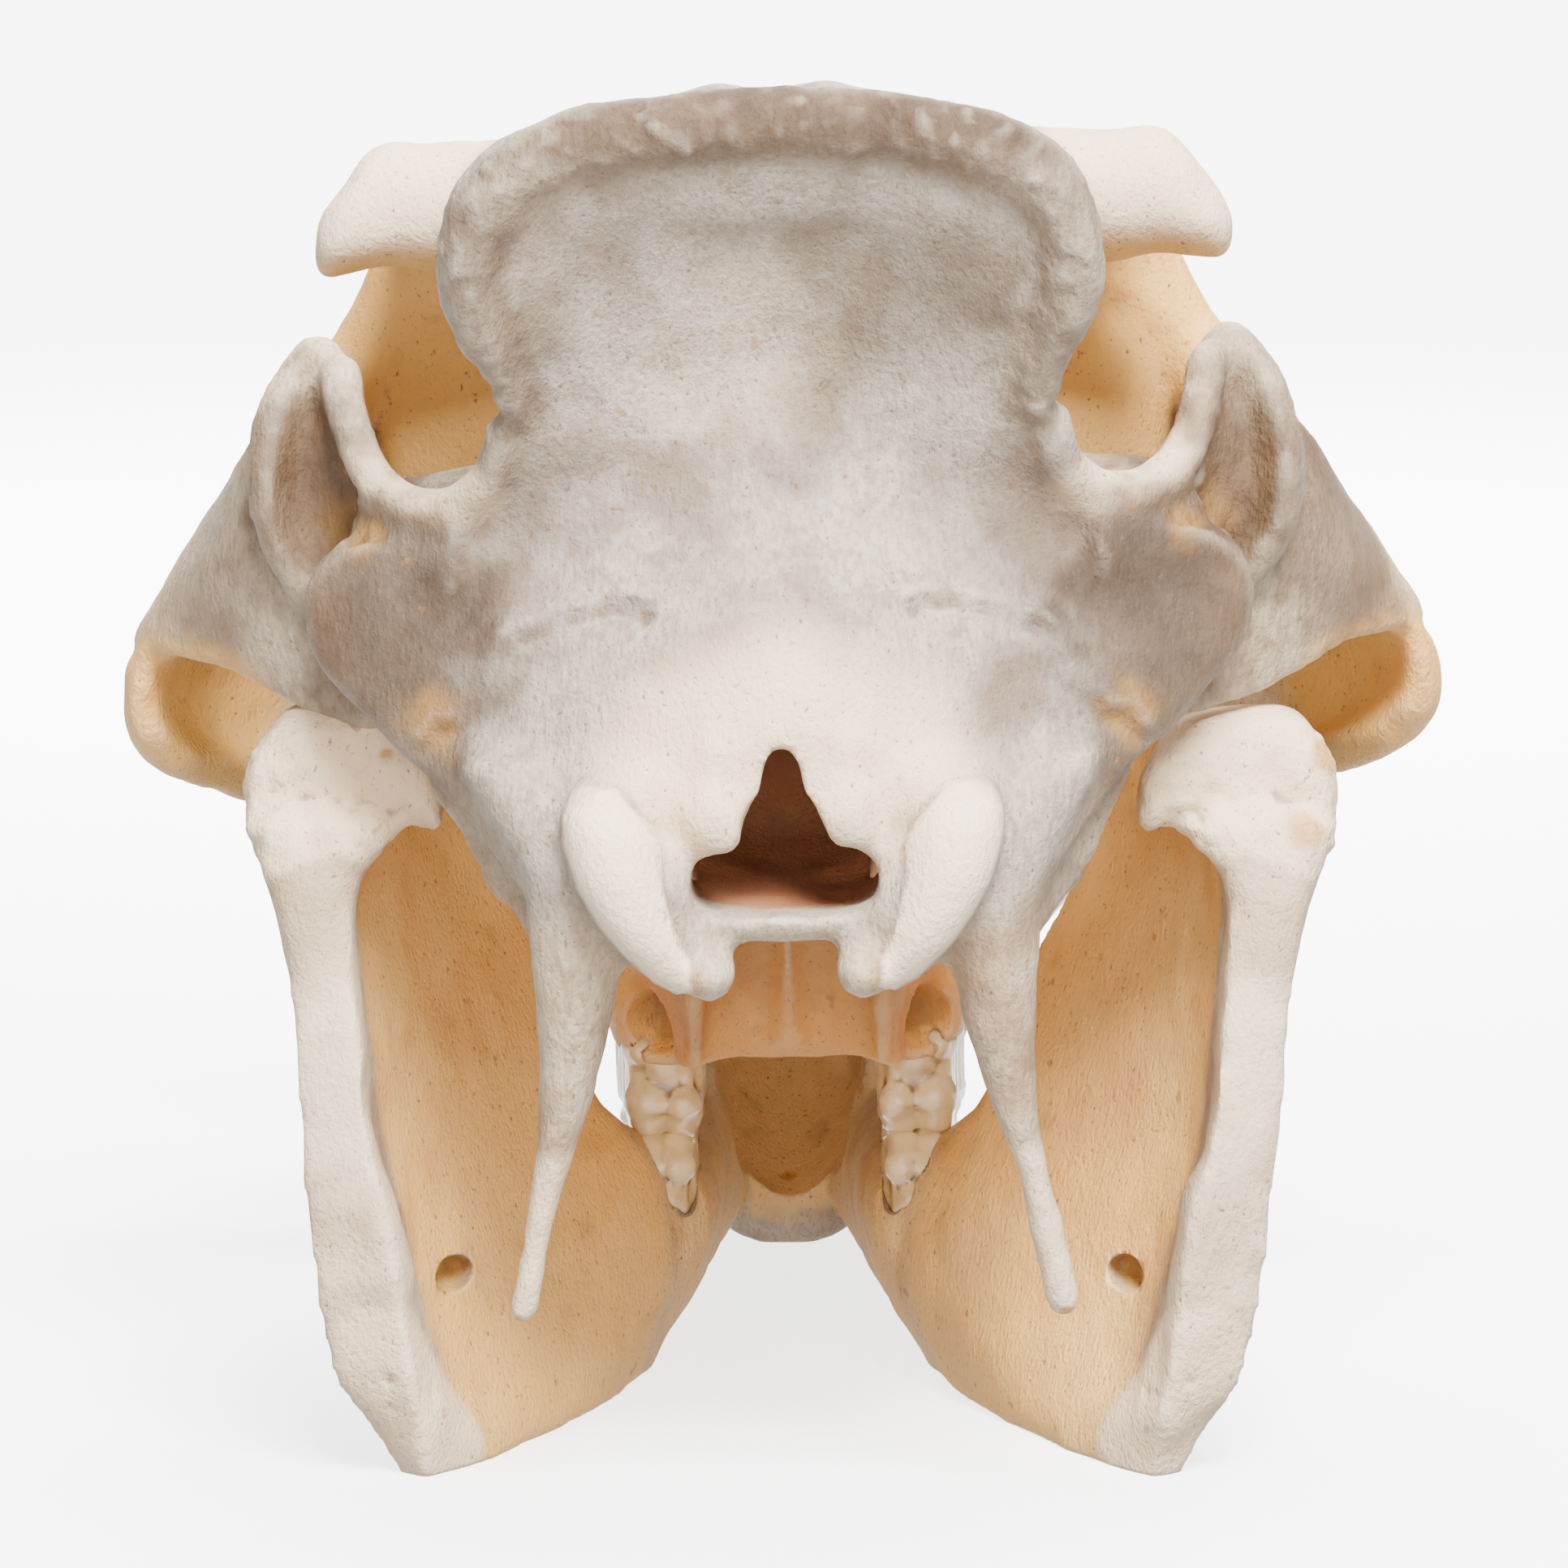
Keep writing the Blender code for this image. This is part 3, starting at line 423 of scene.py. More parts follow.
class Carving:
    """The points of a skin in millimetres, and the strokes that carve them."""

    def __init__(self, obj: bpy.types.Object) -> None:
        """Reads an object's points.

        Args:
            obj: The object, at the scene's origin.
        """
        self.obj = obj
        mesh = obj.data
        self.places = np.empty(len(mesh.vertices) * 3)
        mesh.vertices.foreach_get("co", self.places)
        self.places = self.places.reshape(-1, 3) / MM
        self.read_normals()

    def read_normals(self) -> None:
        """Reads the points' normals afresh."""
        mesh = self.obj.data
        self.normals = np.empty(len(mesh.vertices) * 3)
        mesh.vertex_normals.foreach_get("vector", self.normals)
        self.normals = self.normals.reshape(-1, 3)

    @property
    def everywhere(self) -> np.ndarray:
        """A full share for every point."""
        return np.ones(len(self.places))

    @property
    def inward(self) -> np.ndarray:
        """How squarely the skin at each point faces the middle of the skull."""
        return ramp(self.normals[:, 0] * np.sign(self.places[:, 0]), 0.25, -0.3)

    def near(self, line: Sequence[Row], both: bool = True, wobble: float = 0.0) -> np.ndarray:
        """How far each point is from a line.

        Args:
            line: Points of x, y and z; two or more of them are joined by a smooth curve.
            both: True to read the line on both sides of the skull, False for its own place only.
            wobble: How far the line strays, in millimetres.

        Returns:
            Distances in millimetres.
        """
        probe = self.places.copy()
        if both:
            probe[:, 0] = np.abs(probe[:, 0])
        points = np.array(line, float)
        if len(points) > 2:
            points = spread(len(points), len(points) * 5) @ points
        if len(points) == 1:
            return np.linalg.norm(probe - points[0], axis=1)
        if wobble:
            shift = np.stack([lattice_noise(points, 3.0, k) for k in (1, 2, 3)], axis=1)
            points = points + shift * wobble
        found = np.full(len(probe), 1e9)
        for a, b in zip(points[:-1], points[1:]):
            span = b - a
            t = np.clip((probe - a) @ span / max(span @ span, 1e-9), 0, 1)
            found = np.minimum(found, np.linalg.norm(probe - a - t[:, None] * span, axis=1))
        return found

    def about(self, line: Sequence[Row], outer: float, inner: float, both: bool = True) -> np.ndarray:
        """How much each point belongs to the surroundings of a line.

        Args:
            line: As for near.
            outer: The distance where the share is still 0.
            inner: The distance up to which it is 1.
            both: As for near.

        Returns:
            Shares from 0 to 1.
        """
        return ramp(self.near(line, both), outer, inner)

    def inside(self, outline: Sequence[Row], soft: float) -> np.ndarray:
        """Which points lie within an outline on both sides, as seen from the rear.

        Args:
            outline: Its corners, each of x and z on the left side.
            soft: Half the width of its border in millimetres.

        Returns:
            Shares from 0 outside to 1 inside.
        """
        probe = np.stack([np.abs(self.places[:, 0]), self.places[:, 2]], axis=1)
        corners = np.array(outline, float)
        odd = np.zeros(len(probe), bool)
        gap = np.full(len(probe), 1e9)
        for a, b in zip(corners, np.roll(corners, -1, axis=0)):
            rise = b[1] - a[1] if abs(b[1] - a[1]) > 1e-9 else 1e-9
            level = (probe[:, 1] > a[1]) != (probe[:, 1] > b[1])
            odd ^= level & (probe[:, 0] < a[0] + (probe[:, 1] - a[1]) * (b[0] - a[0]) / rise)
            span = b - a
            t = np.clip((probe - a) @ span / max(span @ span, 1e-9), 0, 1)
            gap = np.minimum(gap, np.linalg.norm(probe - a - t[:, None] * span, axis=1))
        return ramp(np.where(odd, gap, -gap), -soft, soft)

    def stroke(self, line: Sequence[Row], radius: float, depth: float, both: bool = True,
               wobble: float = 0.0) -> None:
        """Pushes the skin out, or in where the depth is negative, along a line.

        Args:
            line: Points of x, y and z.
            radius: How far from the line the skin moves.
            depth: How far it moves on the line.
            both: As for near.
            wobble: As for near.
        """
        share = ramp(self.near(line, both, wobble), radius, 0.0)
        self.places += self.normals * (share * depth)[:, None]

    def roughen(self, mask: np.ndarray, cell: float, depth: float, seed: int = 0) -> None:
        """Adds lumps where the mask is above 0.

        Args:
            mask: A share for each point.
            cell: The size of a lump.
            depth: Its height.
            seed: The lumps' seed.
        """
        self.places += self.normals * (mask * lattice_noise(self.places, cell, seed) * depth)[:, None]

    def pit(self, centre: Row, reach: float, count: int, radius: float, depth: float,
            seed: int = 0) -> None:
        """Scatters small pits about a place, on both sides of the skull.

        Args:
            centre: The middle of the patch.
            reach: Its half size.
            count: How many pits.
            radius: A pit's radius.
            depth: Its depth.
            seed: The scatter's seed.
        """
        chance = np.random.default_rng(SEED + seed)
        spots = np.array(centre, float) + chance.normal(0, reach / 2, (count, 3))
        for spot in spots:
            self.stroke([tuple(spot)], radius * chance.uniform(0.6, 1.3), -depth)

    def patches(self, patches: Iterable["Patch"], fray: float = 0.3) -> np.ndarray:
        """How strong a set of patches is at each point.

        Args:
            patches: The patches.
            fray: How ragged their edges are, as a share of their reach.

        Returns:
            Shares from 0 to 1.
        """
        total = np.zeros(len(self.places))
        ragged = 1 + fray * lattice_noise(self.places, 2.4, 11)
        for patch in patches:
            near = self.near([patch.centre], patch.both) * ragged
            total = np.maximum(total, patch.share * ramp(near, patch.reach, patch.reach * 0.35))
        return total

    def write(self) -> None:
        """Writes the points back to the mesh."""
        self.obj.data.vertices.foreach_set("co", (self.places * MM).ravel())
        self.obj.data.update()
        self.read_normals()

    def attribute(self, name: str, values: np.ndarray) -> None:
        """Stores a value for each point, which a material reads.

        Args:
            name: The attribute's name.
            values: The values.
        """
        layer = self.obj.data.attributes.new(name, "FLOAT", "POINT")
        layer.data.foreach_set("value", np.clip(values, 0, 1).astype(np.float32))

    def coat(self, finish: "Finish") -> None:
        """Gives the skin a finish in place of what it had.

        Args:
            finish: The finish.
        """
        self.obj.data.materials.clear()
        self.obj.data.materials.append(finish.build())

    def hollow(self, rounds: int) -> np.ndarray:
        """How deep in a crease each point lies.

        Args:
            rounds: How many times the measure is spread to its neighbours.

        Returns:
            About 0.5 on the flat, more in a crease and less on a ridge.
        """
        mesh = self.obj.data
        ends = np.empty(len(mesh.edges) * 2, dtype=np.int64)
        mesh.edges.foreach_get("vertices", ends)
        a, b = ends.reshape(-1, 2).T
        count = np.bincount(ends, minlength=len(self.places)).astype(float)
        offset = np.zeros_like(self.places)
        span = self.places[b] - self.places[a]
        length = np.linalg.norm(span, axis=1, keepdims=True)
        np.add.at(offset, a, span / np.maximum(length, 1e-6))
        np.add.at(offset, b, -span / np.maximum(length, 1e-6))
        curve = np.einsum("ij,ij->i", offset, self.normals) / count
        for _ in range(rounds):
            total = np.bincount(a, curve[b], len(curve)) + np.bincount(b, curve[a], len(curve))
            curve = 0.5 * curve + 0.5 * total / count
        return 0.5 + 0.15 * (curve - np.median(curve)) / curve.std()


def thin(obj: bpy.types.Object, triangles: int) -> None:
    """Collapses a skin to about this many triangles.

    Args:
        obj: The object.
        triangles: The number to reach.
    """
    obj.data.calc_loop_triangles()
    step = obj.modifiers.new("thin", "DECIMATE")
    step.ratio = min(1.0, triangles / len(obj.data.loop_triangles))
    settle(obj)


def place(obj: bpy.types.Object, upper: bool) -> None:
    """Moves a skin from its own layout to the frame, as the CAD does.

    Args:
        obj: The object.
        upper: True for the cranium and its teeth, False for the jaw and its teeth.
    """
    pivot = Matrix.Translation((0, 0, ROLL_HEIGHT * MM))
    if upper:
        move = pivot @ Matrix.Rotation(math.radians(CRANIUM_ROLL), 4, "Y") @ pivot.inverted()
    else:
        move = Matrix.Translation((JAW_SHIFT * MM, 0, 0))
    obj.data.transform(Matrix.Translation(-FRAME_ORIGIN * MM) @ move)


def hand_over(obj: bpy.types.Object, slot: str, *nodes: str) -> None:
    """Smooths an object's shading, stands it in for CAD nodes and puts it on the body.

    Args:
        obj: The finished object.
        slot: The record's material slot; it is not used.
        nodes: The CAD nodes that it stands for.
    """
    obj.data.shade_smooth()
    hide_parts(*nodes)
    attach(obj, "root")
    obj.data.calc_loop_triangles()
    log.info("%s: %d triangles", obj.name, len(obj.data.loop_triangles))


# Finishes


def srgb(code: str) -> tuple[float, float, float, float]:
    """A linear colour from a hex code.

    Args:
        code: Such as "#c8b090".

    Returns:
        Red, green, blue and alpha.
    """
    shares = [int(code[i : i + 2], 16) / 255 for i in (1, 3, 5)]
    linear = [s / 12.92 if s <= 0.04045 else ((s + 0.055) / 1.055) ** 2.4 for s in shares]
    return (linear[0], linear[1], linear[2], 1.0)


def add_node(tree: bpy.types.NodeTree, kind: str, settings: dict | None = None,
             links: dict | None = None) -> bpy.types.Node:
    """Adds a node with its settings and links.

    Args:
        tree: The material's tree.
        kind: The node's type.
        settings: Values by property name, or by input name or number.
        links: Output sockets by input name or number.

    Returns:
        The node.
    """
    node = tree.nodes.new(kind)
    for key, value in (settings or {}).items():
        if isinstance(key, str) and hasattr(node, key) and key not in node.inputs:
            setattr(node, key, value)
        else:
            node.inputs[key].default_value = value
    for key, socket in (links or {}).items():
        tree.links.new(socket, node.inputs[key])
    return node


@dataclass(frozen=True)
class Tint:
    """A colour laid over those before it, the more of it the further a source is from start to end."""

    source: str
    start: float
    end: float
    most: float
    colour: str
    blend: Blend = Blend.COVER


@dataclass(frozen=True)
class Grain:
    """A noise in the bone or tooth, by the real size of its lumps and how far it is drawn upward."""

    name: str
    size_mm: float
    detail: float = 4.0
    roughness: float = 0.6
    drawn: float = 1.0


@dataclass(frozen=True)
class Finish:
    """What bone and ivory share: grains, painted measures, and tints that are laid by them."""

    name: str
    base: str
    tints: tuple[Tint, ...]
    grains: tuple[Grain, ...]
    measures: tuple[str, ...]
    relief: tuple[tuple[str, float, float], ...]  # source, strength, height in millimetres
    matt: float
    polished: float
    glow: float
    glow_mm: float
    refraction: float
    shine: float = 0.35
    bleed: tuple[float, float, float] = (1.0, 0.62, 0.36)  # reach of red, green and blue light

    def sources(self, tree: bpy.types.NodeTree) -> dict[str, bpy.types.NodeSocket]:
        """Adds the grains and reads the measures that are stored on the skin.

        Args:
            tree: The material's tree.

        Returns:
            Their sockets by name.
        """
        found: dict[str, bpy.types.NodeSocket] = {}
        where = add_node(tree, "ShaderNodeTexCoord").outputs["Object"]
        for grain in self.grains:
            drawn = add_node(
                tree, "ShaderNodeMapping", {"Scale": (1.0, 1.0, 1 / grain.drawn)}, {"Vector": where}
            )
            settings = {"Scale": 1 / (grain.size_mm * MM), "Detail": grain.detail,
                        "Roughness": grain.roughness}
            noise = add_node(tree, "ShaderNodeTexNoise", settings, {"Vector": drawn.outputs[0]})
            found[grain.name] = noise.outputs["Fac"]
        for measure in self.measures:
            stored = add_node(tree, "ShaderNodeAttribute", {"attribute_name": measure})
            found[measure] = stored.outputs["Fac"]
        return found

    def build(self) -> bpy.types.Material:
        """Makes the material.

        Returns:
            The material.
        """
        made = bpy.data.materials.new(self.name)
        made.use_nodes = True
        tree = made.node_tree
        shader = tree.nodes["Principled BSDF"]
        sources = self.sources(tree)
        below: dict = {MIX_A: srgb(self.base)}
        linked: dict = {}
        for tint in self.tints:
            span = {"interpolation_type": "SMOOTHSTEP", "From Min": tint.start, "From Max": tint.end,
                    "To Max": tint.most}
            share = add_node(tree, "ShaderNodeMapRange", span, {"Value": sources[tint.source]})
            settings = {"data_type": "RGBA", "blend_type": tint.blend.value, **below,
                        MIX_B: srgb(tint.colour)}
            laid = add_node(tree, "ShaderNodeMix", settings, {MIX_SHARE: share.outputs[0], **linked})
            below, linked = {}, {MIX_A: laid.outputs[MIX_RESULT]}
        tree.links.new(linked[MIX_A], shader.inputs["Base Color"])
        gloss = {"To Min": self.matt, "To Max": self.polished}
        sheen = add_node(tree, "ShaderNodeMapRange", gloss, {"Value": sources["worn"]})
        tree.links.new(sheen.outputs[0], shader.inputs["Roughness"])
        normal: dict = {}
        for source, strength, height in self.relief:
            settings = {"Strength": strength, "Distance": height * MM}
            bump = add_node(tree, "ShaderNodeBump", settings, {"Height": sources[source], **normal})
            normal = {"Normal": bump.outputs[0]}
        tree.links.new(normal["Normal"], shader.inputs["Normal"])
        shader.inputs["IOR"].default_value = self.refraction
        shader.inputs["Specular IOR Level"].default_value = self.shine
        shader.inputs["Subsurface Weight"].default_value = self.glow
        shader.inputs["Subsurface Radius"].default_value = self.bleed
        shader.inputs["Subsurface Scale"].default_value = self.glow_mm * MM
        return made


def dry_bone(name: str) -> Finish:
    """Clean, dry, degreased bone.

    It is matt and scatters light a little way in. Outside it has weathered to a chalky white with fine
    fibres and pores; its rear faces are painted a cooler grey, and patches turned from the light darker,
    as painted shade. Its dense, worn edges are cream, and lit tops, shaded joints and the glow of the
    thin walls are painted lighter as painted light. Fat has stayed in the thin inner walls, which look
    honey-coloured; part of that tone is painted glow and bounce light, and the deeper orange in recesses
    is partly painted shade. Joint surfaces are smooth ivory. Fine creases and broad hollows are darkened
    with painted shade, and ridges are painted lighter. Real fibres and pores are about 0.2 mm across and
    wouldn't show, so they are drawn some four times as coarse.

    Args:
        name: The material's name.

    Returns:
        The finish.
    """
    return Finish(
        name,
        base="#bba68a",
        tints=(
            # Painted shade: a cooler grey on the rear faces, which the light only grazes.
            Tint("chill", 0.0, 1.0, 1.0, "#a0968a"),
            Tint("cloud", 0.38, 0.66, 0.35, "#d2c4b0"),
            Tint("cloud", 0.54, 0.34, 0.45, "#9d958c", Blend.DARKEN),
            Tint("mottle", 0.46, 0.72, 0.5, "#a8947c", Blend.DARKEN),
            Tint("fibre", 0.60, 0.36, 0.4, "#7d6850"),
            # Honey tone on the inner faces, partly the bone's own and partly painted glow and bounce
            # light.
            Tint("warmth", 0.0, 1.0, 0.98, "#efbc68"),
            Tint("cloud", 0.52, 0.32, 0.35, "#e2b585", Blend.DARKEN),
            # Deeper orange, partly painted shade in recesses.
            Tint("amber", 0.0, 1.0, 1.0, "#c98535"),
            # Cream worn edges and joints, and painted light: lit tops and shaded parts are painted
            # lighter.
            Tint("pale", 0.0, 1.0, 0.95, "#f3d8b4"),
            # Painted shade in the broad hollows.
            Tint("valley", 0.58, 1.0, 0.6, "#8d8175", Blend.DARKEN),
            # Painted shade: darker patches on faces turned from the light; on the jaw, random darker
            # patches.
            Tint("dusk", 0.0, 1.0, 1.0, "#857463", Blend.DARKEN),
            Tint("pore", 0.38, 0.22, 0.8, "#5f4832"),
            Tint("speck", 0.70, 0.78, 0.6, "#8f6a42"),
            # Painted shade in the fine creases, and the ridges painted lighter.
            Tint("crease", 0.60, 1.0, 0.7, "#5f462e"),
            Tint("crease", 0.42, 0.10, 0.22, "#e9dcc6"),
            Tint("worn", 0.0, 1.0, 0.95, "#f8e2c4"),
            Tint("stain", 0.0, 1.0, 0.95, "#bb8630"),
            Tint("deep", 0.0, 1.0, 1.0, "#9a6444"),
        ),
        grains=(
            Grain("cloud", 26.0, 3.0, 0.55),
            Grain("mottle", 5.0, 5.0, 0.65),
            Grain("fibre", 0.9, 3.0, 0.6, 3.4),
            Grain("pore", 0.8, 2.0, 0.5, 1.3),
            Grain("speck", 3.2, 2.0, 0.4),
            Grain("chalk", 0.5, 3.0, 0.7),
        ),
        measures=("chill", "dusk", "warmth", "amber", "pale", "worn", "valley", "crease", "stain",
                  "deep"),
        relief=(("fibre", 0.7, 0.4), ("chalk", 0.6, 0.3), ("pore", 0.8, 0.4)),
        matt=0.72,
        polished=0.38,
        glow=0.12,
        glow_mm=2.5,
        refraction=1.5,
    )


def tooth_ivory(name: str, base: str, honey: str, root: str, band_mm: float, gloss: float) -> Finish:
    """Tusk dentine or tooth enamel.

    It is dense and takes a soft polish, so it shines more than the bone. Faint bands lie along it,
    its colour deepens to honey in clouds, and the root and the seams are stained brown.

    Args:
        name: The material's name.
        base: The cream of the clean tooth.
        honey: The deeper tone of its clouds.
        root: The brown of root and seams.
        band_mm: The size of the bands.
        gloss: The roughness of its polish.

    Returns:
        The finish.
    """
    return Finish(
        name,
        base=base,
        tints=(
            Tint("cloud", 0.45, 0.75, 0.6, honey),
            Tint("band", 0.50, 0.80, 0.3, root),
            Tint("stain", 0.0, 1.0, 1.0, root),
            Tint("worn", 0.0, 1.0, 0.8, base),
        ),
        grains=(Grain("cloud", 14.0), Grain("band", band_mm, 3.0, 0.6, 0.8)),
        measures=("stain", "worn"),
        relief=(("band", 0.4, 0.2),),
        matt=gloss,
        polished=gloss * 0.8,
        glow=0.15,
        glow_mm=2.0,
        refraction=1.54,
    )


# Pieces of the skull


@dataclass(frozen=True)
class Patch:
    """A place where a tint or a roughness is strong."""

    centre: tuple[float, float, float]
    reach: float
    share: float = 1.0
    both: bool = True


@dataclass(frozen=True)
class Groove:
    """A line that is carved in, or raised where its depth is negative."""

    line: tuple[tuple[float, float, float], ...]
    width: float
    depth: float
    wobble: float = 0.0
    both: bool = True
    ledge: float = 0.0  # how far above the line a ragged ledge stands, if one does


@dataclass
class Cranium:
    """The skull above the jaw: one bone, with the openings that a dry skull has."""

    crest_height: float = 216.0
    voxel: float = 1.1
    triangles: int = 190_000
    sutures: tuple[Groove, ...] = (
        Groove(((20, -13, 140), (27, -15, 141.5), (32, -17, 138), (39, -19, 135), (42, -19.5, 130),
                (46, -21, 125.5), (53, -24, 120)), 2.2, 1.2, 1.8, ledge=2.4),
        Groove(((1.5, -8, 130), (1.8, -7.6, 124)), 1.2, 0.9, 0.6, False),
        Groove(((20.3, -12.7, 139), (22.2, -13.7, 142)), 1.3, 1.1, 0.4),
        Groove(((14, -200, 158), (13, -230, 148), (12, -260, 139), (11, -300, 129)), 1.0, 0.45, 0.8),
        Groove(((0, -130, 186), (0, -180, 167), (0, -240, 147), (0, -320, 126)), 0.9, 0.4, 0.8),
        Groove(((0, -96, 203), (0, -130, 186)), 0.9, 0.35, 1.2),
        Groove(((26, -196, 150), (30, -176, 140), (33, -160, 120), (37, -150, 100)), 1.0, 0.45, 1.0),
        Groove(((27, -250, 118), (29, -262, 96), (27, -268, 78)), 1.0, 0.45, 1.0),
    )

    rim: tuple[tuple[float, float, float], ...] = (
        (0, 3, 213), (20, 4, 211), (33, 4, 207), (41, 2, 200), (44, 0, 190), (41, -5, 180),
        (38, -12, 170),
    )
    facet: tuple[tuple[float, float], ...] = (  # x and z round one joint surface, seen from the rear
        (29, 115.2), (24.8, 114.7), (20.4, 109.9), (18.2, 106.2), (18.1, 101), (17.2, 96.8), (16, 92.4),
        (14.2, 88), (14, 84.6), (16, 83.9), (19.5, 85.9), (23.8, 90.2), (27.6, 95), (30.6, 100.8),
        (32.4, 106.8), (32.5, 111), (31, 114.4),
    )

    def rear_wall(self, form: Form) -> None:
        """The broad concave shield, whose wings reach out beside the ear holes.

        Args:
            form: The heap that takes its shapes.
        """
        levels = (  # z, half width, y at the middle, y half way out, y at the edge, thickness
            (self.crest_height - 1, 16, 2.5, 1.5, 0, 7),
            (self.crest_height - 5, 31, 1, 1, 1, 9),
            (205, 40.5, -5, -3, 1, 10),
            (195, 45.5, -12, -9, -1, 10),
            (186, 44.5, -16, -13, -4, 9),
            (178, 41, -18.5, -16.5, -10, 8),
            (170, 40, -19.5, -18.5, -15, 8),
            (162, 43.5, -19, -20, -19, 8),
            (155, 52, -17.5, -21, -24, 8),
            (149, 67, -15, -22, -28.5, 7),
            (141, 71.5, -11, -21.5, -31, 7),
            (132, 70, -7, -19, -31, 7),
            (123, 62, -5, -16.5, -28, 7),
            (114, 52, -5.5, -14, -25, 8),
            (104, 44, -8, -13, -20, 9),
            (95, 37, -10, -13, -17, 9),
        )
        rows = [
            [
                (-half, edge - 3, z, thick),
                (-half * 0.55, part - 6, z, thick + 7),
                (0, middle - 9, z, thick + 12),
                (half * 0.55, part - 6, z, thick + 7),
                (half, edge - 3, z, thick),
            ]
            for z, half, middle, part, edge, thick in levels
        ]
        form.plate(rows, (70, 60))

    def crest_rim(self, form: Form) -> None:
        """The rough thick rim round the top of the shield.

        Args:
            form: The heap that takes its shapes.
        """
        line = (
            (0, 0, 213, 5.5, 5.5),
            (20, 0, 211.5, 5.5, 5.5),
            (32.5, 0, 208.5, 5.5, 5.5),
            (40, -1, 203.5, 5.5, 5.5),
            (43.8, -2, 197, 5, 5),
            (44.8, -4, 190, 4.5, 4.5),
            (43, -7, 183, 4, 4),
            (40, -11, 176, 3, 3),
            (39, -14, 170, 2.5, 2.5),
        )
        form.spindle(line, sides=20)

    def condyles(self, form: Form) -> None:
        """One smooth occipital condyle and the lobed bone between it and the top of the great hole.

        Args:
            form: The heap that takes its shapes.
        """
        joint = (
            (28.3, -12, 114, 3.4, 6.5),
            (26.6, -10, 110.5, 6, 9),
            (25.3, -9.5, 106, 7, 9.5),
            (24.4, -9.2, 101, 6.5, 9.4),
            (22.9, -9.5, 97, 5.9, 9.2),
            (20.8, -10, 92.5, 5.2, 8.6),
            (18.4, -11, 88.5, 4.4, 7.6),
            (16.8, -12, 85.5, 3, 6.2),
        )
        form.spindle(joint, Axis.Z, 2.4)
        form.ball(20.5, -14, 99.5, 9, 11, 18, lean=33)
        form.ball(16, -18, 91, 8, 13, 8)
        form.ball(11.5, -9, 86.8, 4.4, 7, 4.6)
        form.ball(9.6, -8.5, 110.5, 5.8, 5.5, 7.5, lean=14)
        form.ball(22, -15, 113, 13, 9, 8, lean=25)

    def braincase(self, form: Form) -> None:
        """The brain box, the base of the skull and the roof between the temples.

        Args:
            form: The heap that takes its shapes.
        """
        form.spindle(
            ((0, -38, 152, 32, 48), (0, -52, 155, 36, 52), (0, -66, 158, 35, 47), (0, -84, 158, 34, 44),
             (0, -100, 152, 36, 46)),
            Axis.Y, 2.3,
        )
        form.spindle(
            ((0, -9, 96.5, 15, 5.6), (0, -34, 98, 14, 8), (0, -60, 100, 15, 10), (0, -92, 104, 20, 12)),
            Axis.Y, 2.4,
        )
        roof = (
            (0, -7, 204.5, 38, 8),
            (0, -18, 204.5, 33, 8),
            (0, -32, 204, 27, 8),
            (0, -48, 203, 31, 9),
            (0, -64, 200, 47, 10),
            (0, -78, 197, 53, 11),
            (0, -96, 190, 50, 12),
            (0, -116, 181, 41, 12),
            (0, -138, 170.5, 31, 11),
            (0, -162, 159.5, 24, 9),
        )
        form.spindle(roof, Axis.Y, 2.4)

    def muzzle(self, form: Form) -> None:
        """The long face, from the eye sockets to the tip of the snout.

        Args:
            form: The heap that takes its shapes.
        """
        stations = (
            (0, -98, 135, 37, 52),
            (0, -120, 121, 40, 62),
            (0, -142, 116, 38, 60),
            (0, -168, 111.5, 34, 55.5),
            (0, -196, 106.5, 30.5, 50.5),
            (0, -226, 101.5, 28, 45.5),
            (0, -256, 97, 27, 41),
            (0, -284, 93, 27, 37.5),
            (0, -306, 91, 24, 33.5),
            (0, -320, 91, 19, 29),
        )
        form.spindle(stations, Axis.Y, 2.6, sides=48)
        form.spindle(((0, -300, 112, 19, 12), (0, -318, 112, 15, 9), (0, -330, 112, 9, 5)), Axis.Y)

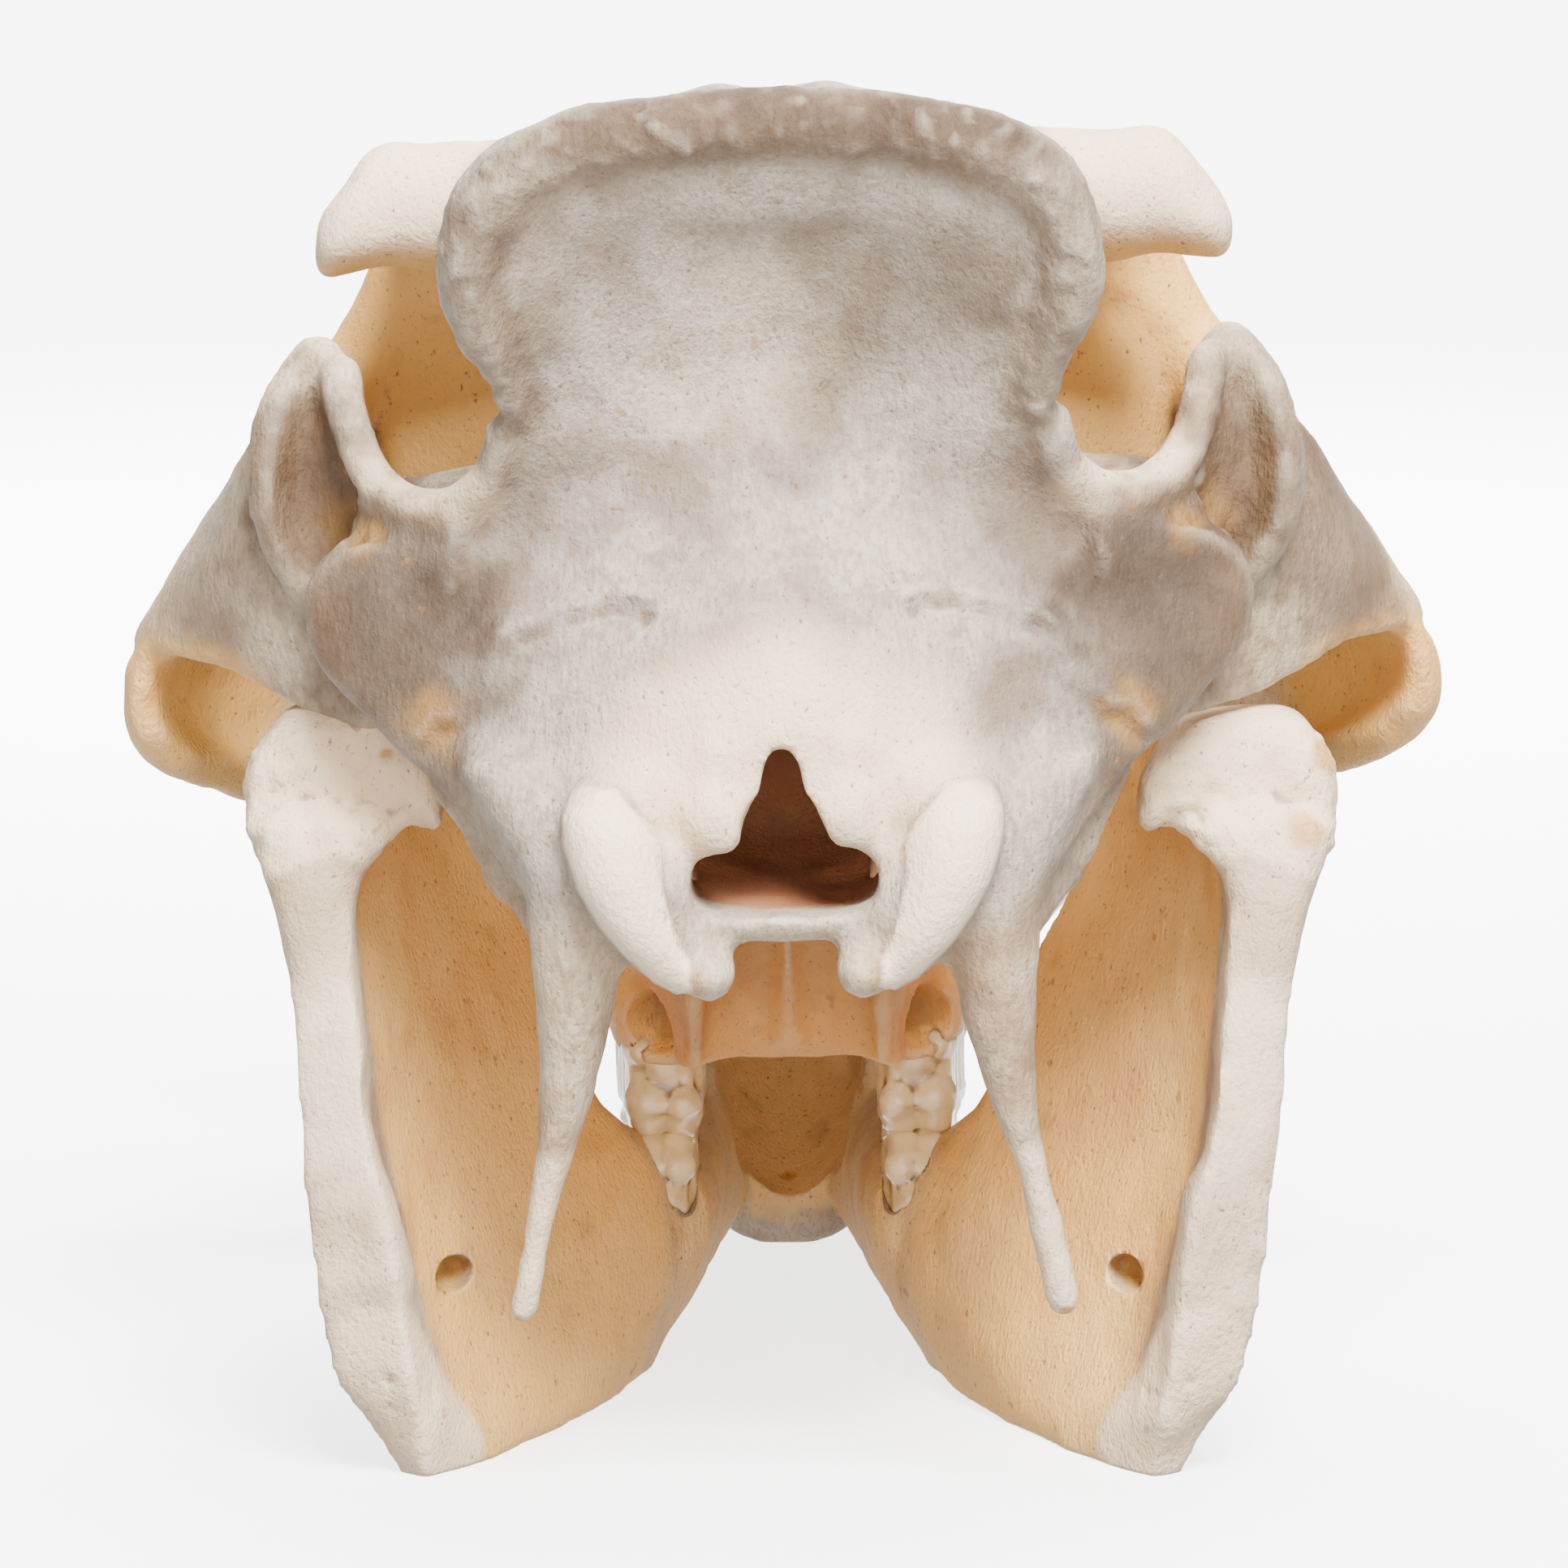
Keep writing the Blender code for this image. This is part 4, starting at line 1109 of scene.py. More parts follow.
    def cheek(self, form: Form) -> None:
        """One cheek arch: the flaring plate, its lower flange and the root at the jaw joint.

        Args:
            form: The heap that takes its shapes.
        """
        upper = [  # rows run from the rear root forward: top edge, middle, lower edge
            [(66, -46, 165, 6), (67, -47, 147, 6.5), (60, -46, 119, 8)],
            [(75, -53, 167, 6), (76, -50, 147, 6), (72, -53, 122, 7)],
            [(80, -62, 161, 6), (85.5, -58, 143.5, 6), (84.5, -62, 127.5, 6)],
            [(80.5, -77, 158, 6.5), (90.5, -73, 142, 7), (98, -76, 128.5, 7)],
            [(78.5, -92, 160, 8), (90.5, -90, 142, 7.5), (99, -90, 126, 9)],
            [(75, -107, 163, 9), (86, -107, 142, 9), (93, -107, 119, 10)],
            [(64, -119, 162, 11), (72, -121, 137, 12), (77, -122, 110, 12)],
            [(48, -130, 156, 13), (54, -133, 131, 14), (56, -135, 104, 14)],
            [(34, -142, 148, 12), (37, -146, 125, 12), (38, -149, 99, 12)],
            [(22, -156, 142, 10), (24, -162, 120, 10), (24, -166, 96, 10)],
        ]
        flange = [
            [(99.5, -74, 128, 4), (100.8, -76, 122, 4), (99.5, -80, 116, 3.5)],
            [(100.5, -82, 127, 7), (101, -83, 116.5, 7), (95.5, -85, 109.5, 5)],
            [(99.5, -94, 124, 9), (98.5, -94, 113.5, 9), (91, -93, 106.5, 7)],
            [(92, -108, 118, 9), (90, -108, 108, 9), (83, -107, 102.5, 8)],
            [(77, -122, 112, 10), (75, -123, 102, 10), (68, -123, 96, 9)],
            [(55, -136, 106, 12), (54, -138, 96, 12), (50, -139, 90, 11)],
            [(36, -150, 100, 10), (36, -150, 92, 10), (34, -150, 88, 10)],
        ]
        form.plate(upper, (50, 26))
        form.plate(flange, (36, 16))
        form.spindle(((34, -42, 145, 13, 17), (50, -43, 144, 11, 16), (62, -46, 143, 9, 15)), Axis.X)

    def ear(self, form: Form) -> None:
        """The upright scoop behind one arch, and the shelf of its ear hole.

        Args:
            form: The heap that takes its shapes.
        """
        scoop = [  # rows run upward: inner edge, middle, outer edge
            [(59, -43, 139, 6), (66, -47, 137.5, 6), (71.5, -42, 139.5, 5)],
            [(60, -42, 147, 6), (69, -51, 147, 6), (77.3, -41.5, 147, 5)],
            [(61, -41, 155, 6), (70, -53, 155, 6), (79.3, -41, 156, 5)],
            [(62.5, -41, 163, 6), (70, -52.5, 163, 6), (78.9, -42, 163.5, 5)],
            [(64, -43, 170, 5), (70, -50.5, 171, 6), (77, -43.5, 170.5, 5)],
            [(65.5, -45, 175, 5), (69.5, -48.5, 176.5, 6), (73.5, -45.5, 176, 5)],
            [(67, -46, 178.5, 4), (69, -46.5, 179.4, 4.5), (71, -46, 178.6, 4)],
        ]
        rim = (
            (40.5, -17, 168, 3.2, 3.2),
            (42.2, -19, 161, 3.5, 3.5),
            (47.5, -23, 156, 3.6, 3.6),
            (54, -27, 155.4, 3.6, 3.6),
            (60.6, -32, 159.6, 3.6, 3.6),
            (64.3, -38, 167.5, 3.3, 3.3),
            (65.8, -43, 175, 3, 3),
        )
        form.plate(scoop, (36, 26))
        form.spindle(rim)
        form.spindle(((44, -38, 147, 10, 9), (58, -42, 145, 10, 9)), Axis.X)
        between = [
            [(43, -21, 159, 5), (53, -28, 154, 5.5), (61, -34, 158, 5)],
            [(45, -23, 151, 8), (56, -31, 149, 8), (64, -38, 151, 6)],
            [(46, -24, 142, 8), (57, -33, 141, 8), (65, -40, 142, 6)],
        ]
        form.plate(between, (20, 16))

    def eye_socket(self, form: Form) -> None:
        """The knob over one eye, and the front rim and wall of its socket.

        Args:
            form: The heap that takes its shapes.
        """
        knob = (
            (34, -70, 200, 14, 9),
            (50, -70, 198, 12, 10.4),
            (58, -69.5, 199, 11, 10.3),
            (63.5, -69, 197.6, 10, 9.3),
            (67, -68.5, 194.8, 8.5, 6.6),
        )
        rim = (
            (56, -76, 201, 6, 6),
            (53, -92, 198, 7, 6.5),
            (56, -105, 191, 7, 7),
            (61, -111, 181, 7, 7),
            (67, -111, 171, 7, 7),
            (75, -104, 162, 7, 7),
        )
        form.spindle(knob, Axis.X, 2.0, ends=0.9)
        form.spindle(rim)
        form.ball(50, -107, 188, 11, 8, 9)
        form.spindle(((20, -112, 166, 20, 24), (44, -112, 165, 14, 22), (58, -112, 163, 9, 19)), Axis.X)

    def spike(self, form: Form) -> None:
        """The long process that hangs beside one condyle.

        Args:
            form: The heap that takes its shapes.
        """
        stations = (
            (40, -20, 117, 9, 6.5),
            (36, -19, 110.5, 9.5, 8),
            (32.8, -18.5, 104, 8.8, 8.5),
            (31.2, -18.5, 97, 7.6, 8.3),
            (31.3, -19, 88, 7, 7.6),
            (31.9, -20, 78, 5.7, 6.6),
            (33.2, -21, 68, 4.3, 5.6),
            (35.4, -22, 58, 3.1, 4.6),
            (37.9, -23, 48, 2.6, 3.8),
            (41.2, -24.2, 31.5, 2.8, 3.2),
        )
        lobed = [
            [(42, -28, 114, 7), (49, -33, 114, 6), (54.5, -33, 115, 4)],
            [(39, -28, 106, 8), (45, -33, 106, 6), (50, -33, 106, 3.5)],
            [(36, -28, 99, 8), (42, -32, 98.5, 5.5), (46.8, -33, 99.5, 3.5)],
            [(34, -27, 92, 7), (38, -30, 92, 5), (41.4, -31, 92.5, 3.5)],
            [(33, -25, 85, 5), (35.5, -27, 85.5, 4), (38, -28, 87, 3)],
        ]
        form.spindle(stations, Axis.Z, ends=0.5)
        form.plate(lobed)

    def throat(self, form: Form) -> None:
        """One ear bulla, throat wing, and the bone that holds the cheek teeth.

        Args:
            form: The heap that takes its shapes.
        """
        wing = [
            [(15, -78, 98, 4), (17, -96, 96, 6), (20, -118, 92, 9)],
            [(15, -84, 82, 3.5), (17, -100, 78, 4.5), (21, -120, 76, 9)],
            [(15, -92, 68, 3.5), (16.5, -104, 64, 4), (20, -120, 64, 9)],
            [(15, -99, 56, 4), (16, -106, 55, 4.5), (18, -120, 56, 8)],
        ]
        form.ball(38, -44, 104, 8, 14, 13, lean=-25)
        form.plate(wing)
        sockets = (
            (21, -122, 64.5, 9, 12.5),
            (21.5, -138, 66, 10.2, 14.5),
            (22, -170, 67, 9.6, 13),
            (21.5, -190, 67, 9.2, 12.5),
            (20.5, -208, 68, 8.4, 11.5),
            (20, -224, 73, 6, 8),
            (20, -240, 79, 4, 5),
        )
        form.spindle(sockets, Axis.Y)

    def palate(self, form: Form) -> None:
        """The bony palate and the blade that divides the rear of the nose.

        Args:
            form: The heap that takes its shapes.
        """
        vault = [  # rows run down from the skull base to the rear edge of the palate
            [(-15, -78, 98, 4), (-8, -85, 98, 4), (0, -87, 98, 4), (8, -85, 98, 4), (15, -78, 98, 4)],
            [(-15, -90, 83, 4), (-8, -97, 83, 4), (0, -99, 83, 4), (8, -97, 83, 4), (15, -90, 83, 4)],
            [(-15, -100, 69, 4), (-8, -107, 69, 4), (0, -109, 69, 4), (8, -107, 69, 4),
             (15, -100, 69, 4)],
            [(-15, -110, 56, 4), (-8, -116, 56, 4), (0, -118, 55, 4), (8, -116, 56, 4),
             (15, -110, 56, 4)],
        ]
        blade = ((0, -84, 94, 1.1, 4), (0, -95, 82, 1.1, 4), (0, -105, 70, 1.4, 4),
                 (0, -113, 58, 3.6, 4))
        form.plate(vault, (30, 30))
        form.spindle(blade, Axis.Z, ends=0.3)
        form.spindle(((0, -118, 58, 15, 3.2), (0, -140, 58, 20, 4.5), (0, -170, 59, 24, 5)), Axis.Y, 2.6)

    def snout(self, form: Form) -> None:
        """The sheath of one upper tusk, the ridge behind it and the bone in front of it.

        Args:
            form: The heap that takes its shapes.
        """
        form.spindle(
            ((18, -274, 74, 17, 16), (34, -280, 73, 18, 16.5), (47, -283, 74, 17, 15.5)), Axis.X
        )
        form.spindle(((30, -266, 82, 10, 9), (27, -244, 88, 7, 7), (25, -220, 95, 5, 6)), Axis.Y)
        form.spindle(((17, -296, 71, 9, 12), (13, -318, 73, 8.5, 11), (9.5, -334, 74, 7, 9)), Axis.Y)

    def hollows(self) -> bpy.types.Object:
        """What is cut out: the great hole, eye sockets, temples, nose, throat and ears.

        Returns:
            The cutter.
        """
        form = Form("hollows")
        ear_hole = ((74, -26, 158, 4, 3.6), (58, -34, 151, 3.6, 3.4), (46, -40, 146, 3, 3))
        temple = ((56, -68, 178, 14, 20), (58, -76, 150, 17, 24), (62, -76, 112, 17, 25))
        face_hole = ((52, -190, 92, 4, 4.5), (34, -176, 95, 4, 4.5), (22, -164, 98, 3, 3))
        slot = ((0, 12, 112, 2.7, 9), (0, -10, 112, 2.9, 9.2), (0, -44, 116, 9, 12))
        neck = ((0, 12, 107, 6.8, 7), (0, -10, 107, 6.8, 7), (0, -44, 110, 12, 9))
        great_hole = ((0, 12, 100.4, 14.2, 5.3), (0, -14, 100.4, 14.2, 5.3), (0, -34, 104.5, 15, 8.5))
        nose = ((0, -360, 82, 12, 15), (0, -334, 86, 13, 15), (0, -306, 92, 15, 17),
                (0, -262, 94, 13, 18))
        form.spindle(ear_hole)
        form.spindle(temple, Axis.Z, 2.5)
        form.ball(57, -50, 173, 14, 28, 15)  # the temple's upper part
        form.ball(70, -89, 183, 25, 18, 17)  # the eye's room
        form.ball(21.5, -114.5, 60.5, 6.4, 8, 6.6)  # the crypt of the last molar
        form.spindle(face_hole)
        form.mirror()
        form.spindle(slot, Axis.Y, 3)
        form.spindle(neck, Axis.Y)
        form.spindle(great_hole, Axis.Y, 3.6)
        form.ball(0, -36, 109, 17, 24, 12.5)  # the brain's chamber, as far as the hole shows it
        form.ball(0, -46, 122, 15, 17, 16)
        form.spindle(nose, Axis.Y, 2.4)
        return form.skin(self.voxel, 2)

    def carve(self, points: Carving) -> None:
        """Draws the rough rim, seams, pits and ripples of real bone into the skin.

        Args:
            points: The skin's points.
        """
        for groove in self.sutures:
            if groove.ledge:
                above = [(x, y, z + groove.ledge) for x, y, z in groove.line]
                points.stroke(above, LEDGE_WIDTH, LEDGE_RISE, groove.both, groove.wobble)
            points.stroke(groove.line, groove.width, -groove.depth, groove.both, groove.wobble)
        heart, share = 170, 0.84  # the rim's line drawn in toward this height of the shield
        inner = [(x * share, y - 2, heart + (z - heart) * share) for x, y, z in self.rim]
        points.stroke(inner, radius=6.0, depth=-0.4)
        facet = points.inside(self.facet, 0.35) * ramp(points.places[:, 1], -26, -20)
        points.places += points.normals * (facet * 0.8)[:, None]
        points.write()
        on_rim = points.about(self.rim, 10.0, 4.0)
        rest = 1 - facet
        points.roughen(on_rim, cell=1.7, depth=0.36, seed=1)
        points.roughen(on_rim, cell=3.2, depth=0.34, seed=2)
        points.roughen(rest, cell=14.0, depth=0.7, seed=3)
        points.roughen(rest, cell=5.5, depth=0.3, seed=4)
        points.roughen(rest, cell=2.4, depth=0.1, seed=7)
        ear_hole = points.about([(60, -34, 152), (66, -46, 146)], 11.0, 4.0)
        points.roughen(ear_hole, cell=2.6, depth=0.7, seed=6)
        lobes = points.about([(10, -5, 117), (9, -4, 108), (7, -4, 103)], 8.0, 4.0) * rest
        points.roughen(lobes, cell=5.0, depth=0.7, seed=5)
        points.write()
        points.pit((62, -36, 153), reach=9, count=40, radius=1.8, depth=1.4, seed=1)
        points.pit((47, -20, 124), reach=8, count=8, radius=1.6, depth=0.8, seed=2)
        points.pit((40, 0, 197), reach=9, count=16, radius=1.1, depth=0.6, seed=3)
        points.pit((66, -60, 196), reach=7, count=10, radius=1.2, depth=0.5, seed=4)
        points.write()

    def dress(self, points: Carving, finish: Finish) -> None:
        """Stores where the bone is warm, worn or stained and where light and shade are painted,
        and gives it its finish.

        Args:
            points: The skin's points.
            finish: The bone's finish.
        """
        x, y, z = np.abs(points.places[:, 0]), points.places[:, 1], points.places[:, 2]
        shade = lattice_noise(points.places, 12.0, 21) * 0.12
        # Honey tone on faces turned inward or forward under the skull, in the eye sockets, on the inner
        # arches and a little over the front: partly the bone's own, partly painted glow and bounce
        # light.
        turned_away = np.maximum(points.inward, ramp(points.normals[:, 1], -0.2, 0.3))
        along = ramp(y, -48, -76) * ramp(y, -150, -122)
        throat = along * ramp(z, 126, 108) * ramp(x, 48, 34) * turned_away
        socket_wall = points.about([(54, -84, 172)], 38, 28) * ramp(y, -52, -66)
        flange = points.about([(86, -82, 118)], 34, 24) * ramp(z, 134, 128) * turned_away
        forward = 0.28 * ramp(y, -30, -90)
        points.attribute("warmth", np.maximum.reduce([throat, socket_wall, flange, forward]) + shade)
        # Deeper orange, partly painted shade, in the molar's crypt, the throat and the eye socket walls.
        crypt = points.about([(21.5, -112, 62)], 13, 8)
        amber = np.maximum.reduce([0.5 * throat, 0.2 * socket_wall, 0.7 * crypt])
        points.attribute("amber", amber + shade * (amber > 0.1))
        # Cream ear rims and spike tips; painted light on the roof of the great hole, the tops of the eye
        # knobs and the middle of the shield on its left, where light falls.
        hole_roof = points.about([(0, -4, 124), (14, -8, 118)], 24, 4)
        knob = points.about([(52, -70, 200), (66, -69, 198)], 17, 10) * ramp(z, 188, 196)
        ear_rim = points.about([(45, -21, 158), (54, -27, 157), (62, -33, 160)], 7, 3)
        tips = points.about([(41, -24, 32), (35, -22, 52)], 9, 5)
        middle = 0.3 * points.about([(8, -18, 180)], 24, 8, False)
        pale = np.maximum.reduce([0.9 * hole_roof, knob, 0.6 * ear_rim, 0.7 * tips, middle])
        points.attribute("pale", pale + shade * (pale > 0.1))
        # Painted shade on faces turned from the light: the ear scoops, the arches (more on the right
        # one), the right half and top of the shield, between the spikes and in the throat. The wings
        # hold painted shade and some brown-grey stain.
        dusk = (
            Patch((62, -28, 134), 34, 0.95),  # the wings of the shield
            Patch((56, -26, 120), 20, 0.8),
            Patch((40, -22, 146), 20, 0.35),
            Patch((40, -10, 184), 14, 0.3),  # the shield
            Patch((-26, -12, 186), 26, 0.4, False),
            Patch((8, -6, 204), 18, 0.25),
            Patch((37, -16, 152), 22, 0.35),
            Patch((24, -24, 74), 14, 0.45),  # between the spikes
            Patch((68, -46, 156), 26, 0.95),  # the ear scoops
            Patch((84, -60, 148), 28, 0.5),  # the arches
            Patch((-86, -60, 148), 32, 0.8, False),
            Patch((15.5, -92, 70), 22, 0.4),  # the throat's wings and vault
            Patch((0, -100, 78), 22, 0.45),
        )
        on_rim = points.about(self.rim, 9.0, 4.0)
        # Painted shade on the crest's rim, darker towards its top.
        crown = 0.6 * on_rim + 0.3 * on_rim * ramp(z, 204, 211)
        points.attribute("dusk", np.maximum(points.patches(dusk, 0.2), crown) * (1 + 2.5 * shade))
        # Painted cool shade on the rear of the skull, less on the rim.
        rear = ramp(y, -36, -24) * ramp(z, 84, 104) * ramp(x, 74, 60)
        points.attribute("chill", rear * (1 - 0.5 * on_rim) + shade)
        facing_back = ramp(points.normals[:, 1], -0.3, 0.1) * ramp(y, -26, -20)
        points.attribute("worn", points.inside(self.facet, 0.4) * facing_back)
        # Painted shade: darker in fine creases and broad hollows, lighter on ridges.
        points.attribute("crease", points.hollow(2))
        points.attribute("valley", points.hollow(40))
        stains = (
            Patch((-4.2, -11.5, 163.7), 2.6, 1.0, False),  # single spots on the shield
            Patch((16.8, -1.8, 202), 1.0, 0.9, False),
            Patch((-25.8, -2.8, 196.3), 0.9, 0.9, False),
            Patch((29.9, -0.2, 200.9), 1.6, 0.5, False),
            Patch((52, -24, 123), 8, 0.42),  # under the wings
            Patch((46, -24, 112), 5, 0.3),
            Patch((57, -70, 186), 5, 0.5),  # under the eye knobs
            Patch((13, -4, 86), 3, 0.35),  # round the condyles
            Patch((30, -6, 114), 4, 0.35),
            Patch((12, -4, 118), 3, 0.25),
            Patch((41.8, -22, 31), 2.0, 0.8),  # the tips of the spikes
            Patch((61, -30, 150), 6, 0.4),  # the ear holes
            Patch((64, -44, 150), 9, 0.3),
        )
        points.attribute("stain", points.patches(stains))
        chamber = points.about([(0, -30, 108), (0, -46, 120)], 24, 18)
        points.attribute("deep", chamber * ramp(y, -8, -15))
        points.coat(finish)

    def build(self, teeth: Iterable[bpy.types.Object]) -> bpy.types.Object:
        """Builds the whole cranium.

        Args:
            teeth: The pieces that need room in it.

        Returns:
            The object, in its own layout.
        """
        form = Form("cranium_bone")
        sides = (self.crest_rim, self.condyles, self.eye_socket, self.spike, self.throat, self.snout)
        for part in sides:
            part(form)
        form.mirror()
        for part in (self.rear_wall, self.braincase, self.muzzle, self.palate):
            part(form)
        skull = form.skin(self.voxel, 10)
        combine(skull, self.hollows(), Joining.CUT)
        arches = Form("arches")
        self.cheek(arches)
        self.ear(arches)
        arches.mirror()
        combine(skull, arches.skin(self.voxel, 8), Joining.ADD)
        weld(skull, self.voxel, 8)
        keep_largest(skull)
        for tooth in teeth:
            make_room(skull, tooth)
        points = Carving(skull)
        self.carve(points)
        thin(skull, self.triangles)
        return skull


@dataclass
class Mandible:
    """The lower jaw: two upright plates, two bodies and the fused chin, all one bone."""

    voxel: float = 1.0
    triangles: int = 150_000

    def ramus(self, form: Form) -> None:
        """One upright rear plate, from the joint down to the angle.

        Args:
            form: The heap that takes its shapes.
        """
        rows = [  # rows run downward, and each row forward from the rear border
            [(70, -51, 108, 12), (69, -63, 107, 9), (66, -78, 106, 6), (62, -91, 112, 6),
             (58.5, -100, 112, 5), (56, -105, 111, 4)],
            [(73, -47, 99, 16), (69.5, -62, 98, 8), (65, -80, 96, 5), (60, -96, 97, 6),
             (56, -105, 97, 6), (53.5, -111, 96, 5)],
            [(73.3, -44, 89, 11.5), (69.5, -62, 88, 6), (64, -80, 85, 5), (57.5, -97, 84, 7),
             (51.5, -109, 83, 8), (47.5, -116, 82, 6)],
            [(72.4, -43, 80, 10.2), (68.5, -62, 78, 6), (62, -80, 75, 5), (54, -97, 73, 8),
             (47, -111, 72, 9), (43, -119, 71, 7)],
            [(71.3, -42, 67, 10.6), (67, -62, 65, 6), (59.5, -80, 62, 6), (50.5, -97, 60, 9.5),
             (43, -112, 59, 11), (38.5, -122, 58, 9)],
            [(70.4, -42, 54, 11.4), (65.5, -62, 51, 6), (57, -80, 48, 7), (47, -97, 46, 11),
             (38.8, -113, 45, 15), (36.5, -124, 44, 10.5)],
            [(68.5, -42, 42, 13), (63, -62, 39, 7.5), (53.5, -80, 36, 9), (43.5, -97, 34, 13),
             (34, -113, 33, 18), (27.5, -129, 31, 19)],
            [(66.7, -43, 29, 13.8), (60.5, -62, 26, 9), (50.5, -80, 23, 11), (40.5, -97, 21, 14),
             (31.5, -113, 20, 18), (25, -129, 19, 20)],
            [(64.6, -45, 17, 13), (57, -62, 13, 9.5), (46.5, -80, 11, 11.5), (37.5, -97, 10, 14),
             (31, -113, 9.5, 15), (26.5, -129, 9, 15)],
            [(61.5, -49, 7, 9.5), (52.5, -62, 4, 9.5), (44, -80, 3, 11), (36.5, -97, 4, 12),
             (31, -113, 4, 12), (27, -129, 4, 12)],
            [(59, -52, -1.5, 6), (50.5, -62, -1.5, 7), (43, -80, -1, 8), (36, -97, -0.5, 9),
             (31, -113, 0, 9), (27, -129, 0, 9)],
        ]
        condyle = (
            (55.5, -50, 108, 6.5, 6),
            (61, -52, 111.8, 8.5, 7.9),
            (70, -54, 112.8, 9, 8.4),
            (77.5, -54, 112.3, 8.2, 8.2),
            (81.8, -53, 109.5, 6.5, 6.5),
        )
        neck = (
            (71.5, -50, 64, 3, 4),
            (72.3, -48, 76, 4.4, 5),
            (73.6, -47, 88, 5.4, 5.5),
            (73.6, -47.5, 96, 8, 6.5),
            (71.8, -49, 103, 12.5, 7.5),
        )
        form.plate(rows, (60, 48))
        form.spindle(condyle, Axis.X, 2.8, ends=0.5)
        form.spindle(neck, Axis.Z, 2.6)

    def body(self, form: Form) -> None:
        """One half of the jaw's body, from the upright plate to the lower tusk.

        Args:
            form: The heap that takes its shapes.
        """
        stations = (
            (27, -126, 18.5, 11.5, 18.5, 22),
            (25, -142, 18, 10.8, 17.5, 20),
            (22.8, -165, 17.5, 10.6, 17, 14),
            (21, -190, 17.5, 10.2, 16.5, 8),
            (18.8, -212, 17.5, 9.8, 16.5, 3),
            (17.5, -236, 19, 10, 16.5),
            (20, -262, 28, 9, 14),
            (26, -284, 38, 9, 11),
            (29, -298, 44, 8, 8),
        )
        form.spindle(stations, Axis.Y, 2.5)

    def chin(self, form: Form) -> None:
        """The fused chin, which rises forward to its spatulate tip.

        Args:
            form: The heap that takes its shapes.
        """
        stations = (
            (0, -240, 14, 16, 14.5),
            (0, -258, 22, 20, 15.5),
            (0, -280, 32, 25, 14.5),
            (0, -300, 40, 27, 11),
            (0, -318, 46, 23, 7.5),
            (0, -332, 49.5, 18, 5),
        )
        form.spindle(stations, Axis.Y, 2.6)

    def holes(self) -> bpy.types.Object:
        """The nerve holes inside each upright plate and beside the chin, and the chin's trough.

        Returns:
            The cutter.
        """
        form = Form("jaw_holes")
        form.ball(53, -68, 28.7, 3.6, 7, 2.9)
        form.spindle(((24, -250, 26, 3, 3), (12, -236, 24, 3, 3)), Axis.Y)
        form.mirror()
        trough = (
            (0, -198, 38, 11, 26),
            (0, -214, 37.5, 13, 28),
            (0, -232, 38, 14, 29),
            (0, -248, 43, 14.5, 29),
            (0, -264, 50, 14.5, 28),
            (0, -280, 58, 14, 24),
            (0, -298, 64, 14, 17),
        )
        form.spindle(trough, Axis.Y)
        return form.skin(0.8, 1)

    def carve(self, points: Carving) -> None:
        """Draws the lumps of the angle, the rough joint and the ripples of real bone.

        Args:
            points: The skin's points.
        """
        border = ((66, -41, 60), (65, -41, 42), (62, -43, 26), (58, -47, 10))
        points.roughen(points.about(border, 12, 4), cell=9.0, depth=0.6, seed=31)
        points.stroke([(62, -46, 44), (60, -47, 34)], radius=9.0, depth=1.2)
        joint = points.about([(56, -46, 108), (70, -46, 110), (82, -48, 108)], 13, 8)
        points.roughen(joint, cell=1.7, depth=0.5, seed=32)
        points.roughen(joint, cell=3.2, depth=0.3, seed=33)
        points.roughen(points.everywhere, cell=12.0, depth=0.5, seed=34)
        points.roughen(points.everywhere, cell=4.0, depth=0.2, seed=35)
        points.write()
        points.pit((58, -44, 14), reach=9, count=14, radius=1.5, depth=0.7, seed=5)
        points.pit((30, -90, 20), reach=14, count=10, radius=0.8, depth=0.6, seed=6)
        points.write()

    def dress(self, points: Carving, finish: Finish) -> None:
        """Stores where the bone is warm, worn or stained and where light and shade are painted,
        and gives it its finish.

        Args:
            points: The skin's points.
            finish: The bone's finish.
        """
        x, y, z = np.abs(points.places[:, 0]), points.places[:, 1], points.places[:, 2]
        shade = lattice_noise(points.places, 13.0, 41) * 0.12
        # Honey tone on the inner plates, the inner faces of the bodies and the chin: partly the bone's
        # own, partly painted glow of light through the thin walls and painted bounce light.
        plate = points.inward * ramp(y, -50, -62) * ramp(y, -124, -112)
        upward = ramp(points.normals[:, 2], -0.5, 0.1)
        front = ramp(y, -104, -128) * np.maximum(points.inward, ramp(x, 22, 12) * upward)
        thin_wall = plate * (0.85 + 0.15 * ramp(z, 20, 60))
        chin = points.about([(0, -232, 12), (0, -262, 30)], 34, 18) * upward
        points.attribute("warmth", np.maximum.reduce([thin_wall, 0.7 * front, chin]) + shade)
        # Deeper orange, partly painted shade, high on the inner plates under the cranium and in the
        # chin.
        amber = np.maximum(0.4 * plate * ramp(z, 78, 100), 0.1 * chin)
        points.attribute("amber", amber + shade * (amber > 0.1))
        # On the jaw only random darker patches.
        points.attribute("dusk", 0.3 * ramp(lattice_noise(points.places, 6.0, 42), 0.3, 0.9))
        # Painted cool shade towards the rear of the jaw.
        points.attribute("chill", 0.25 * ramp(y, -70, -50) + shade)
        # Cream rear border; painted light on the jaw joints and the angle, which shade hides, and on the
        # chin against its shadow.
        joint = points.about([(56, -46, 108), (70, -46, 112), (82, -46, 108)], 16, 11)
        rear = points.about([(72, -40, 88), (69, -38, 50), (64, -42, 26)], 15, 8)
        angle = points.about([(63, -44, 20), (56, -54, 2)], 12, 7)
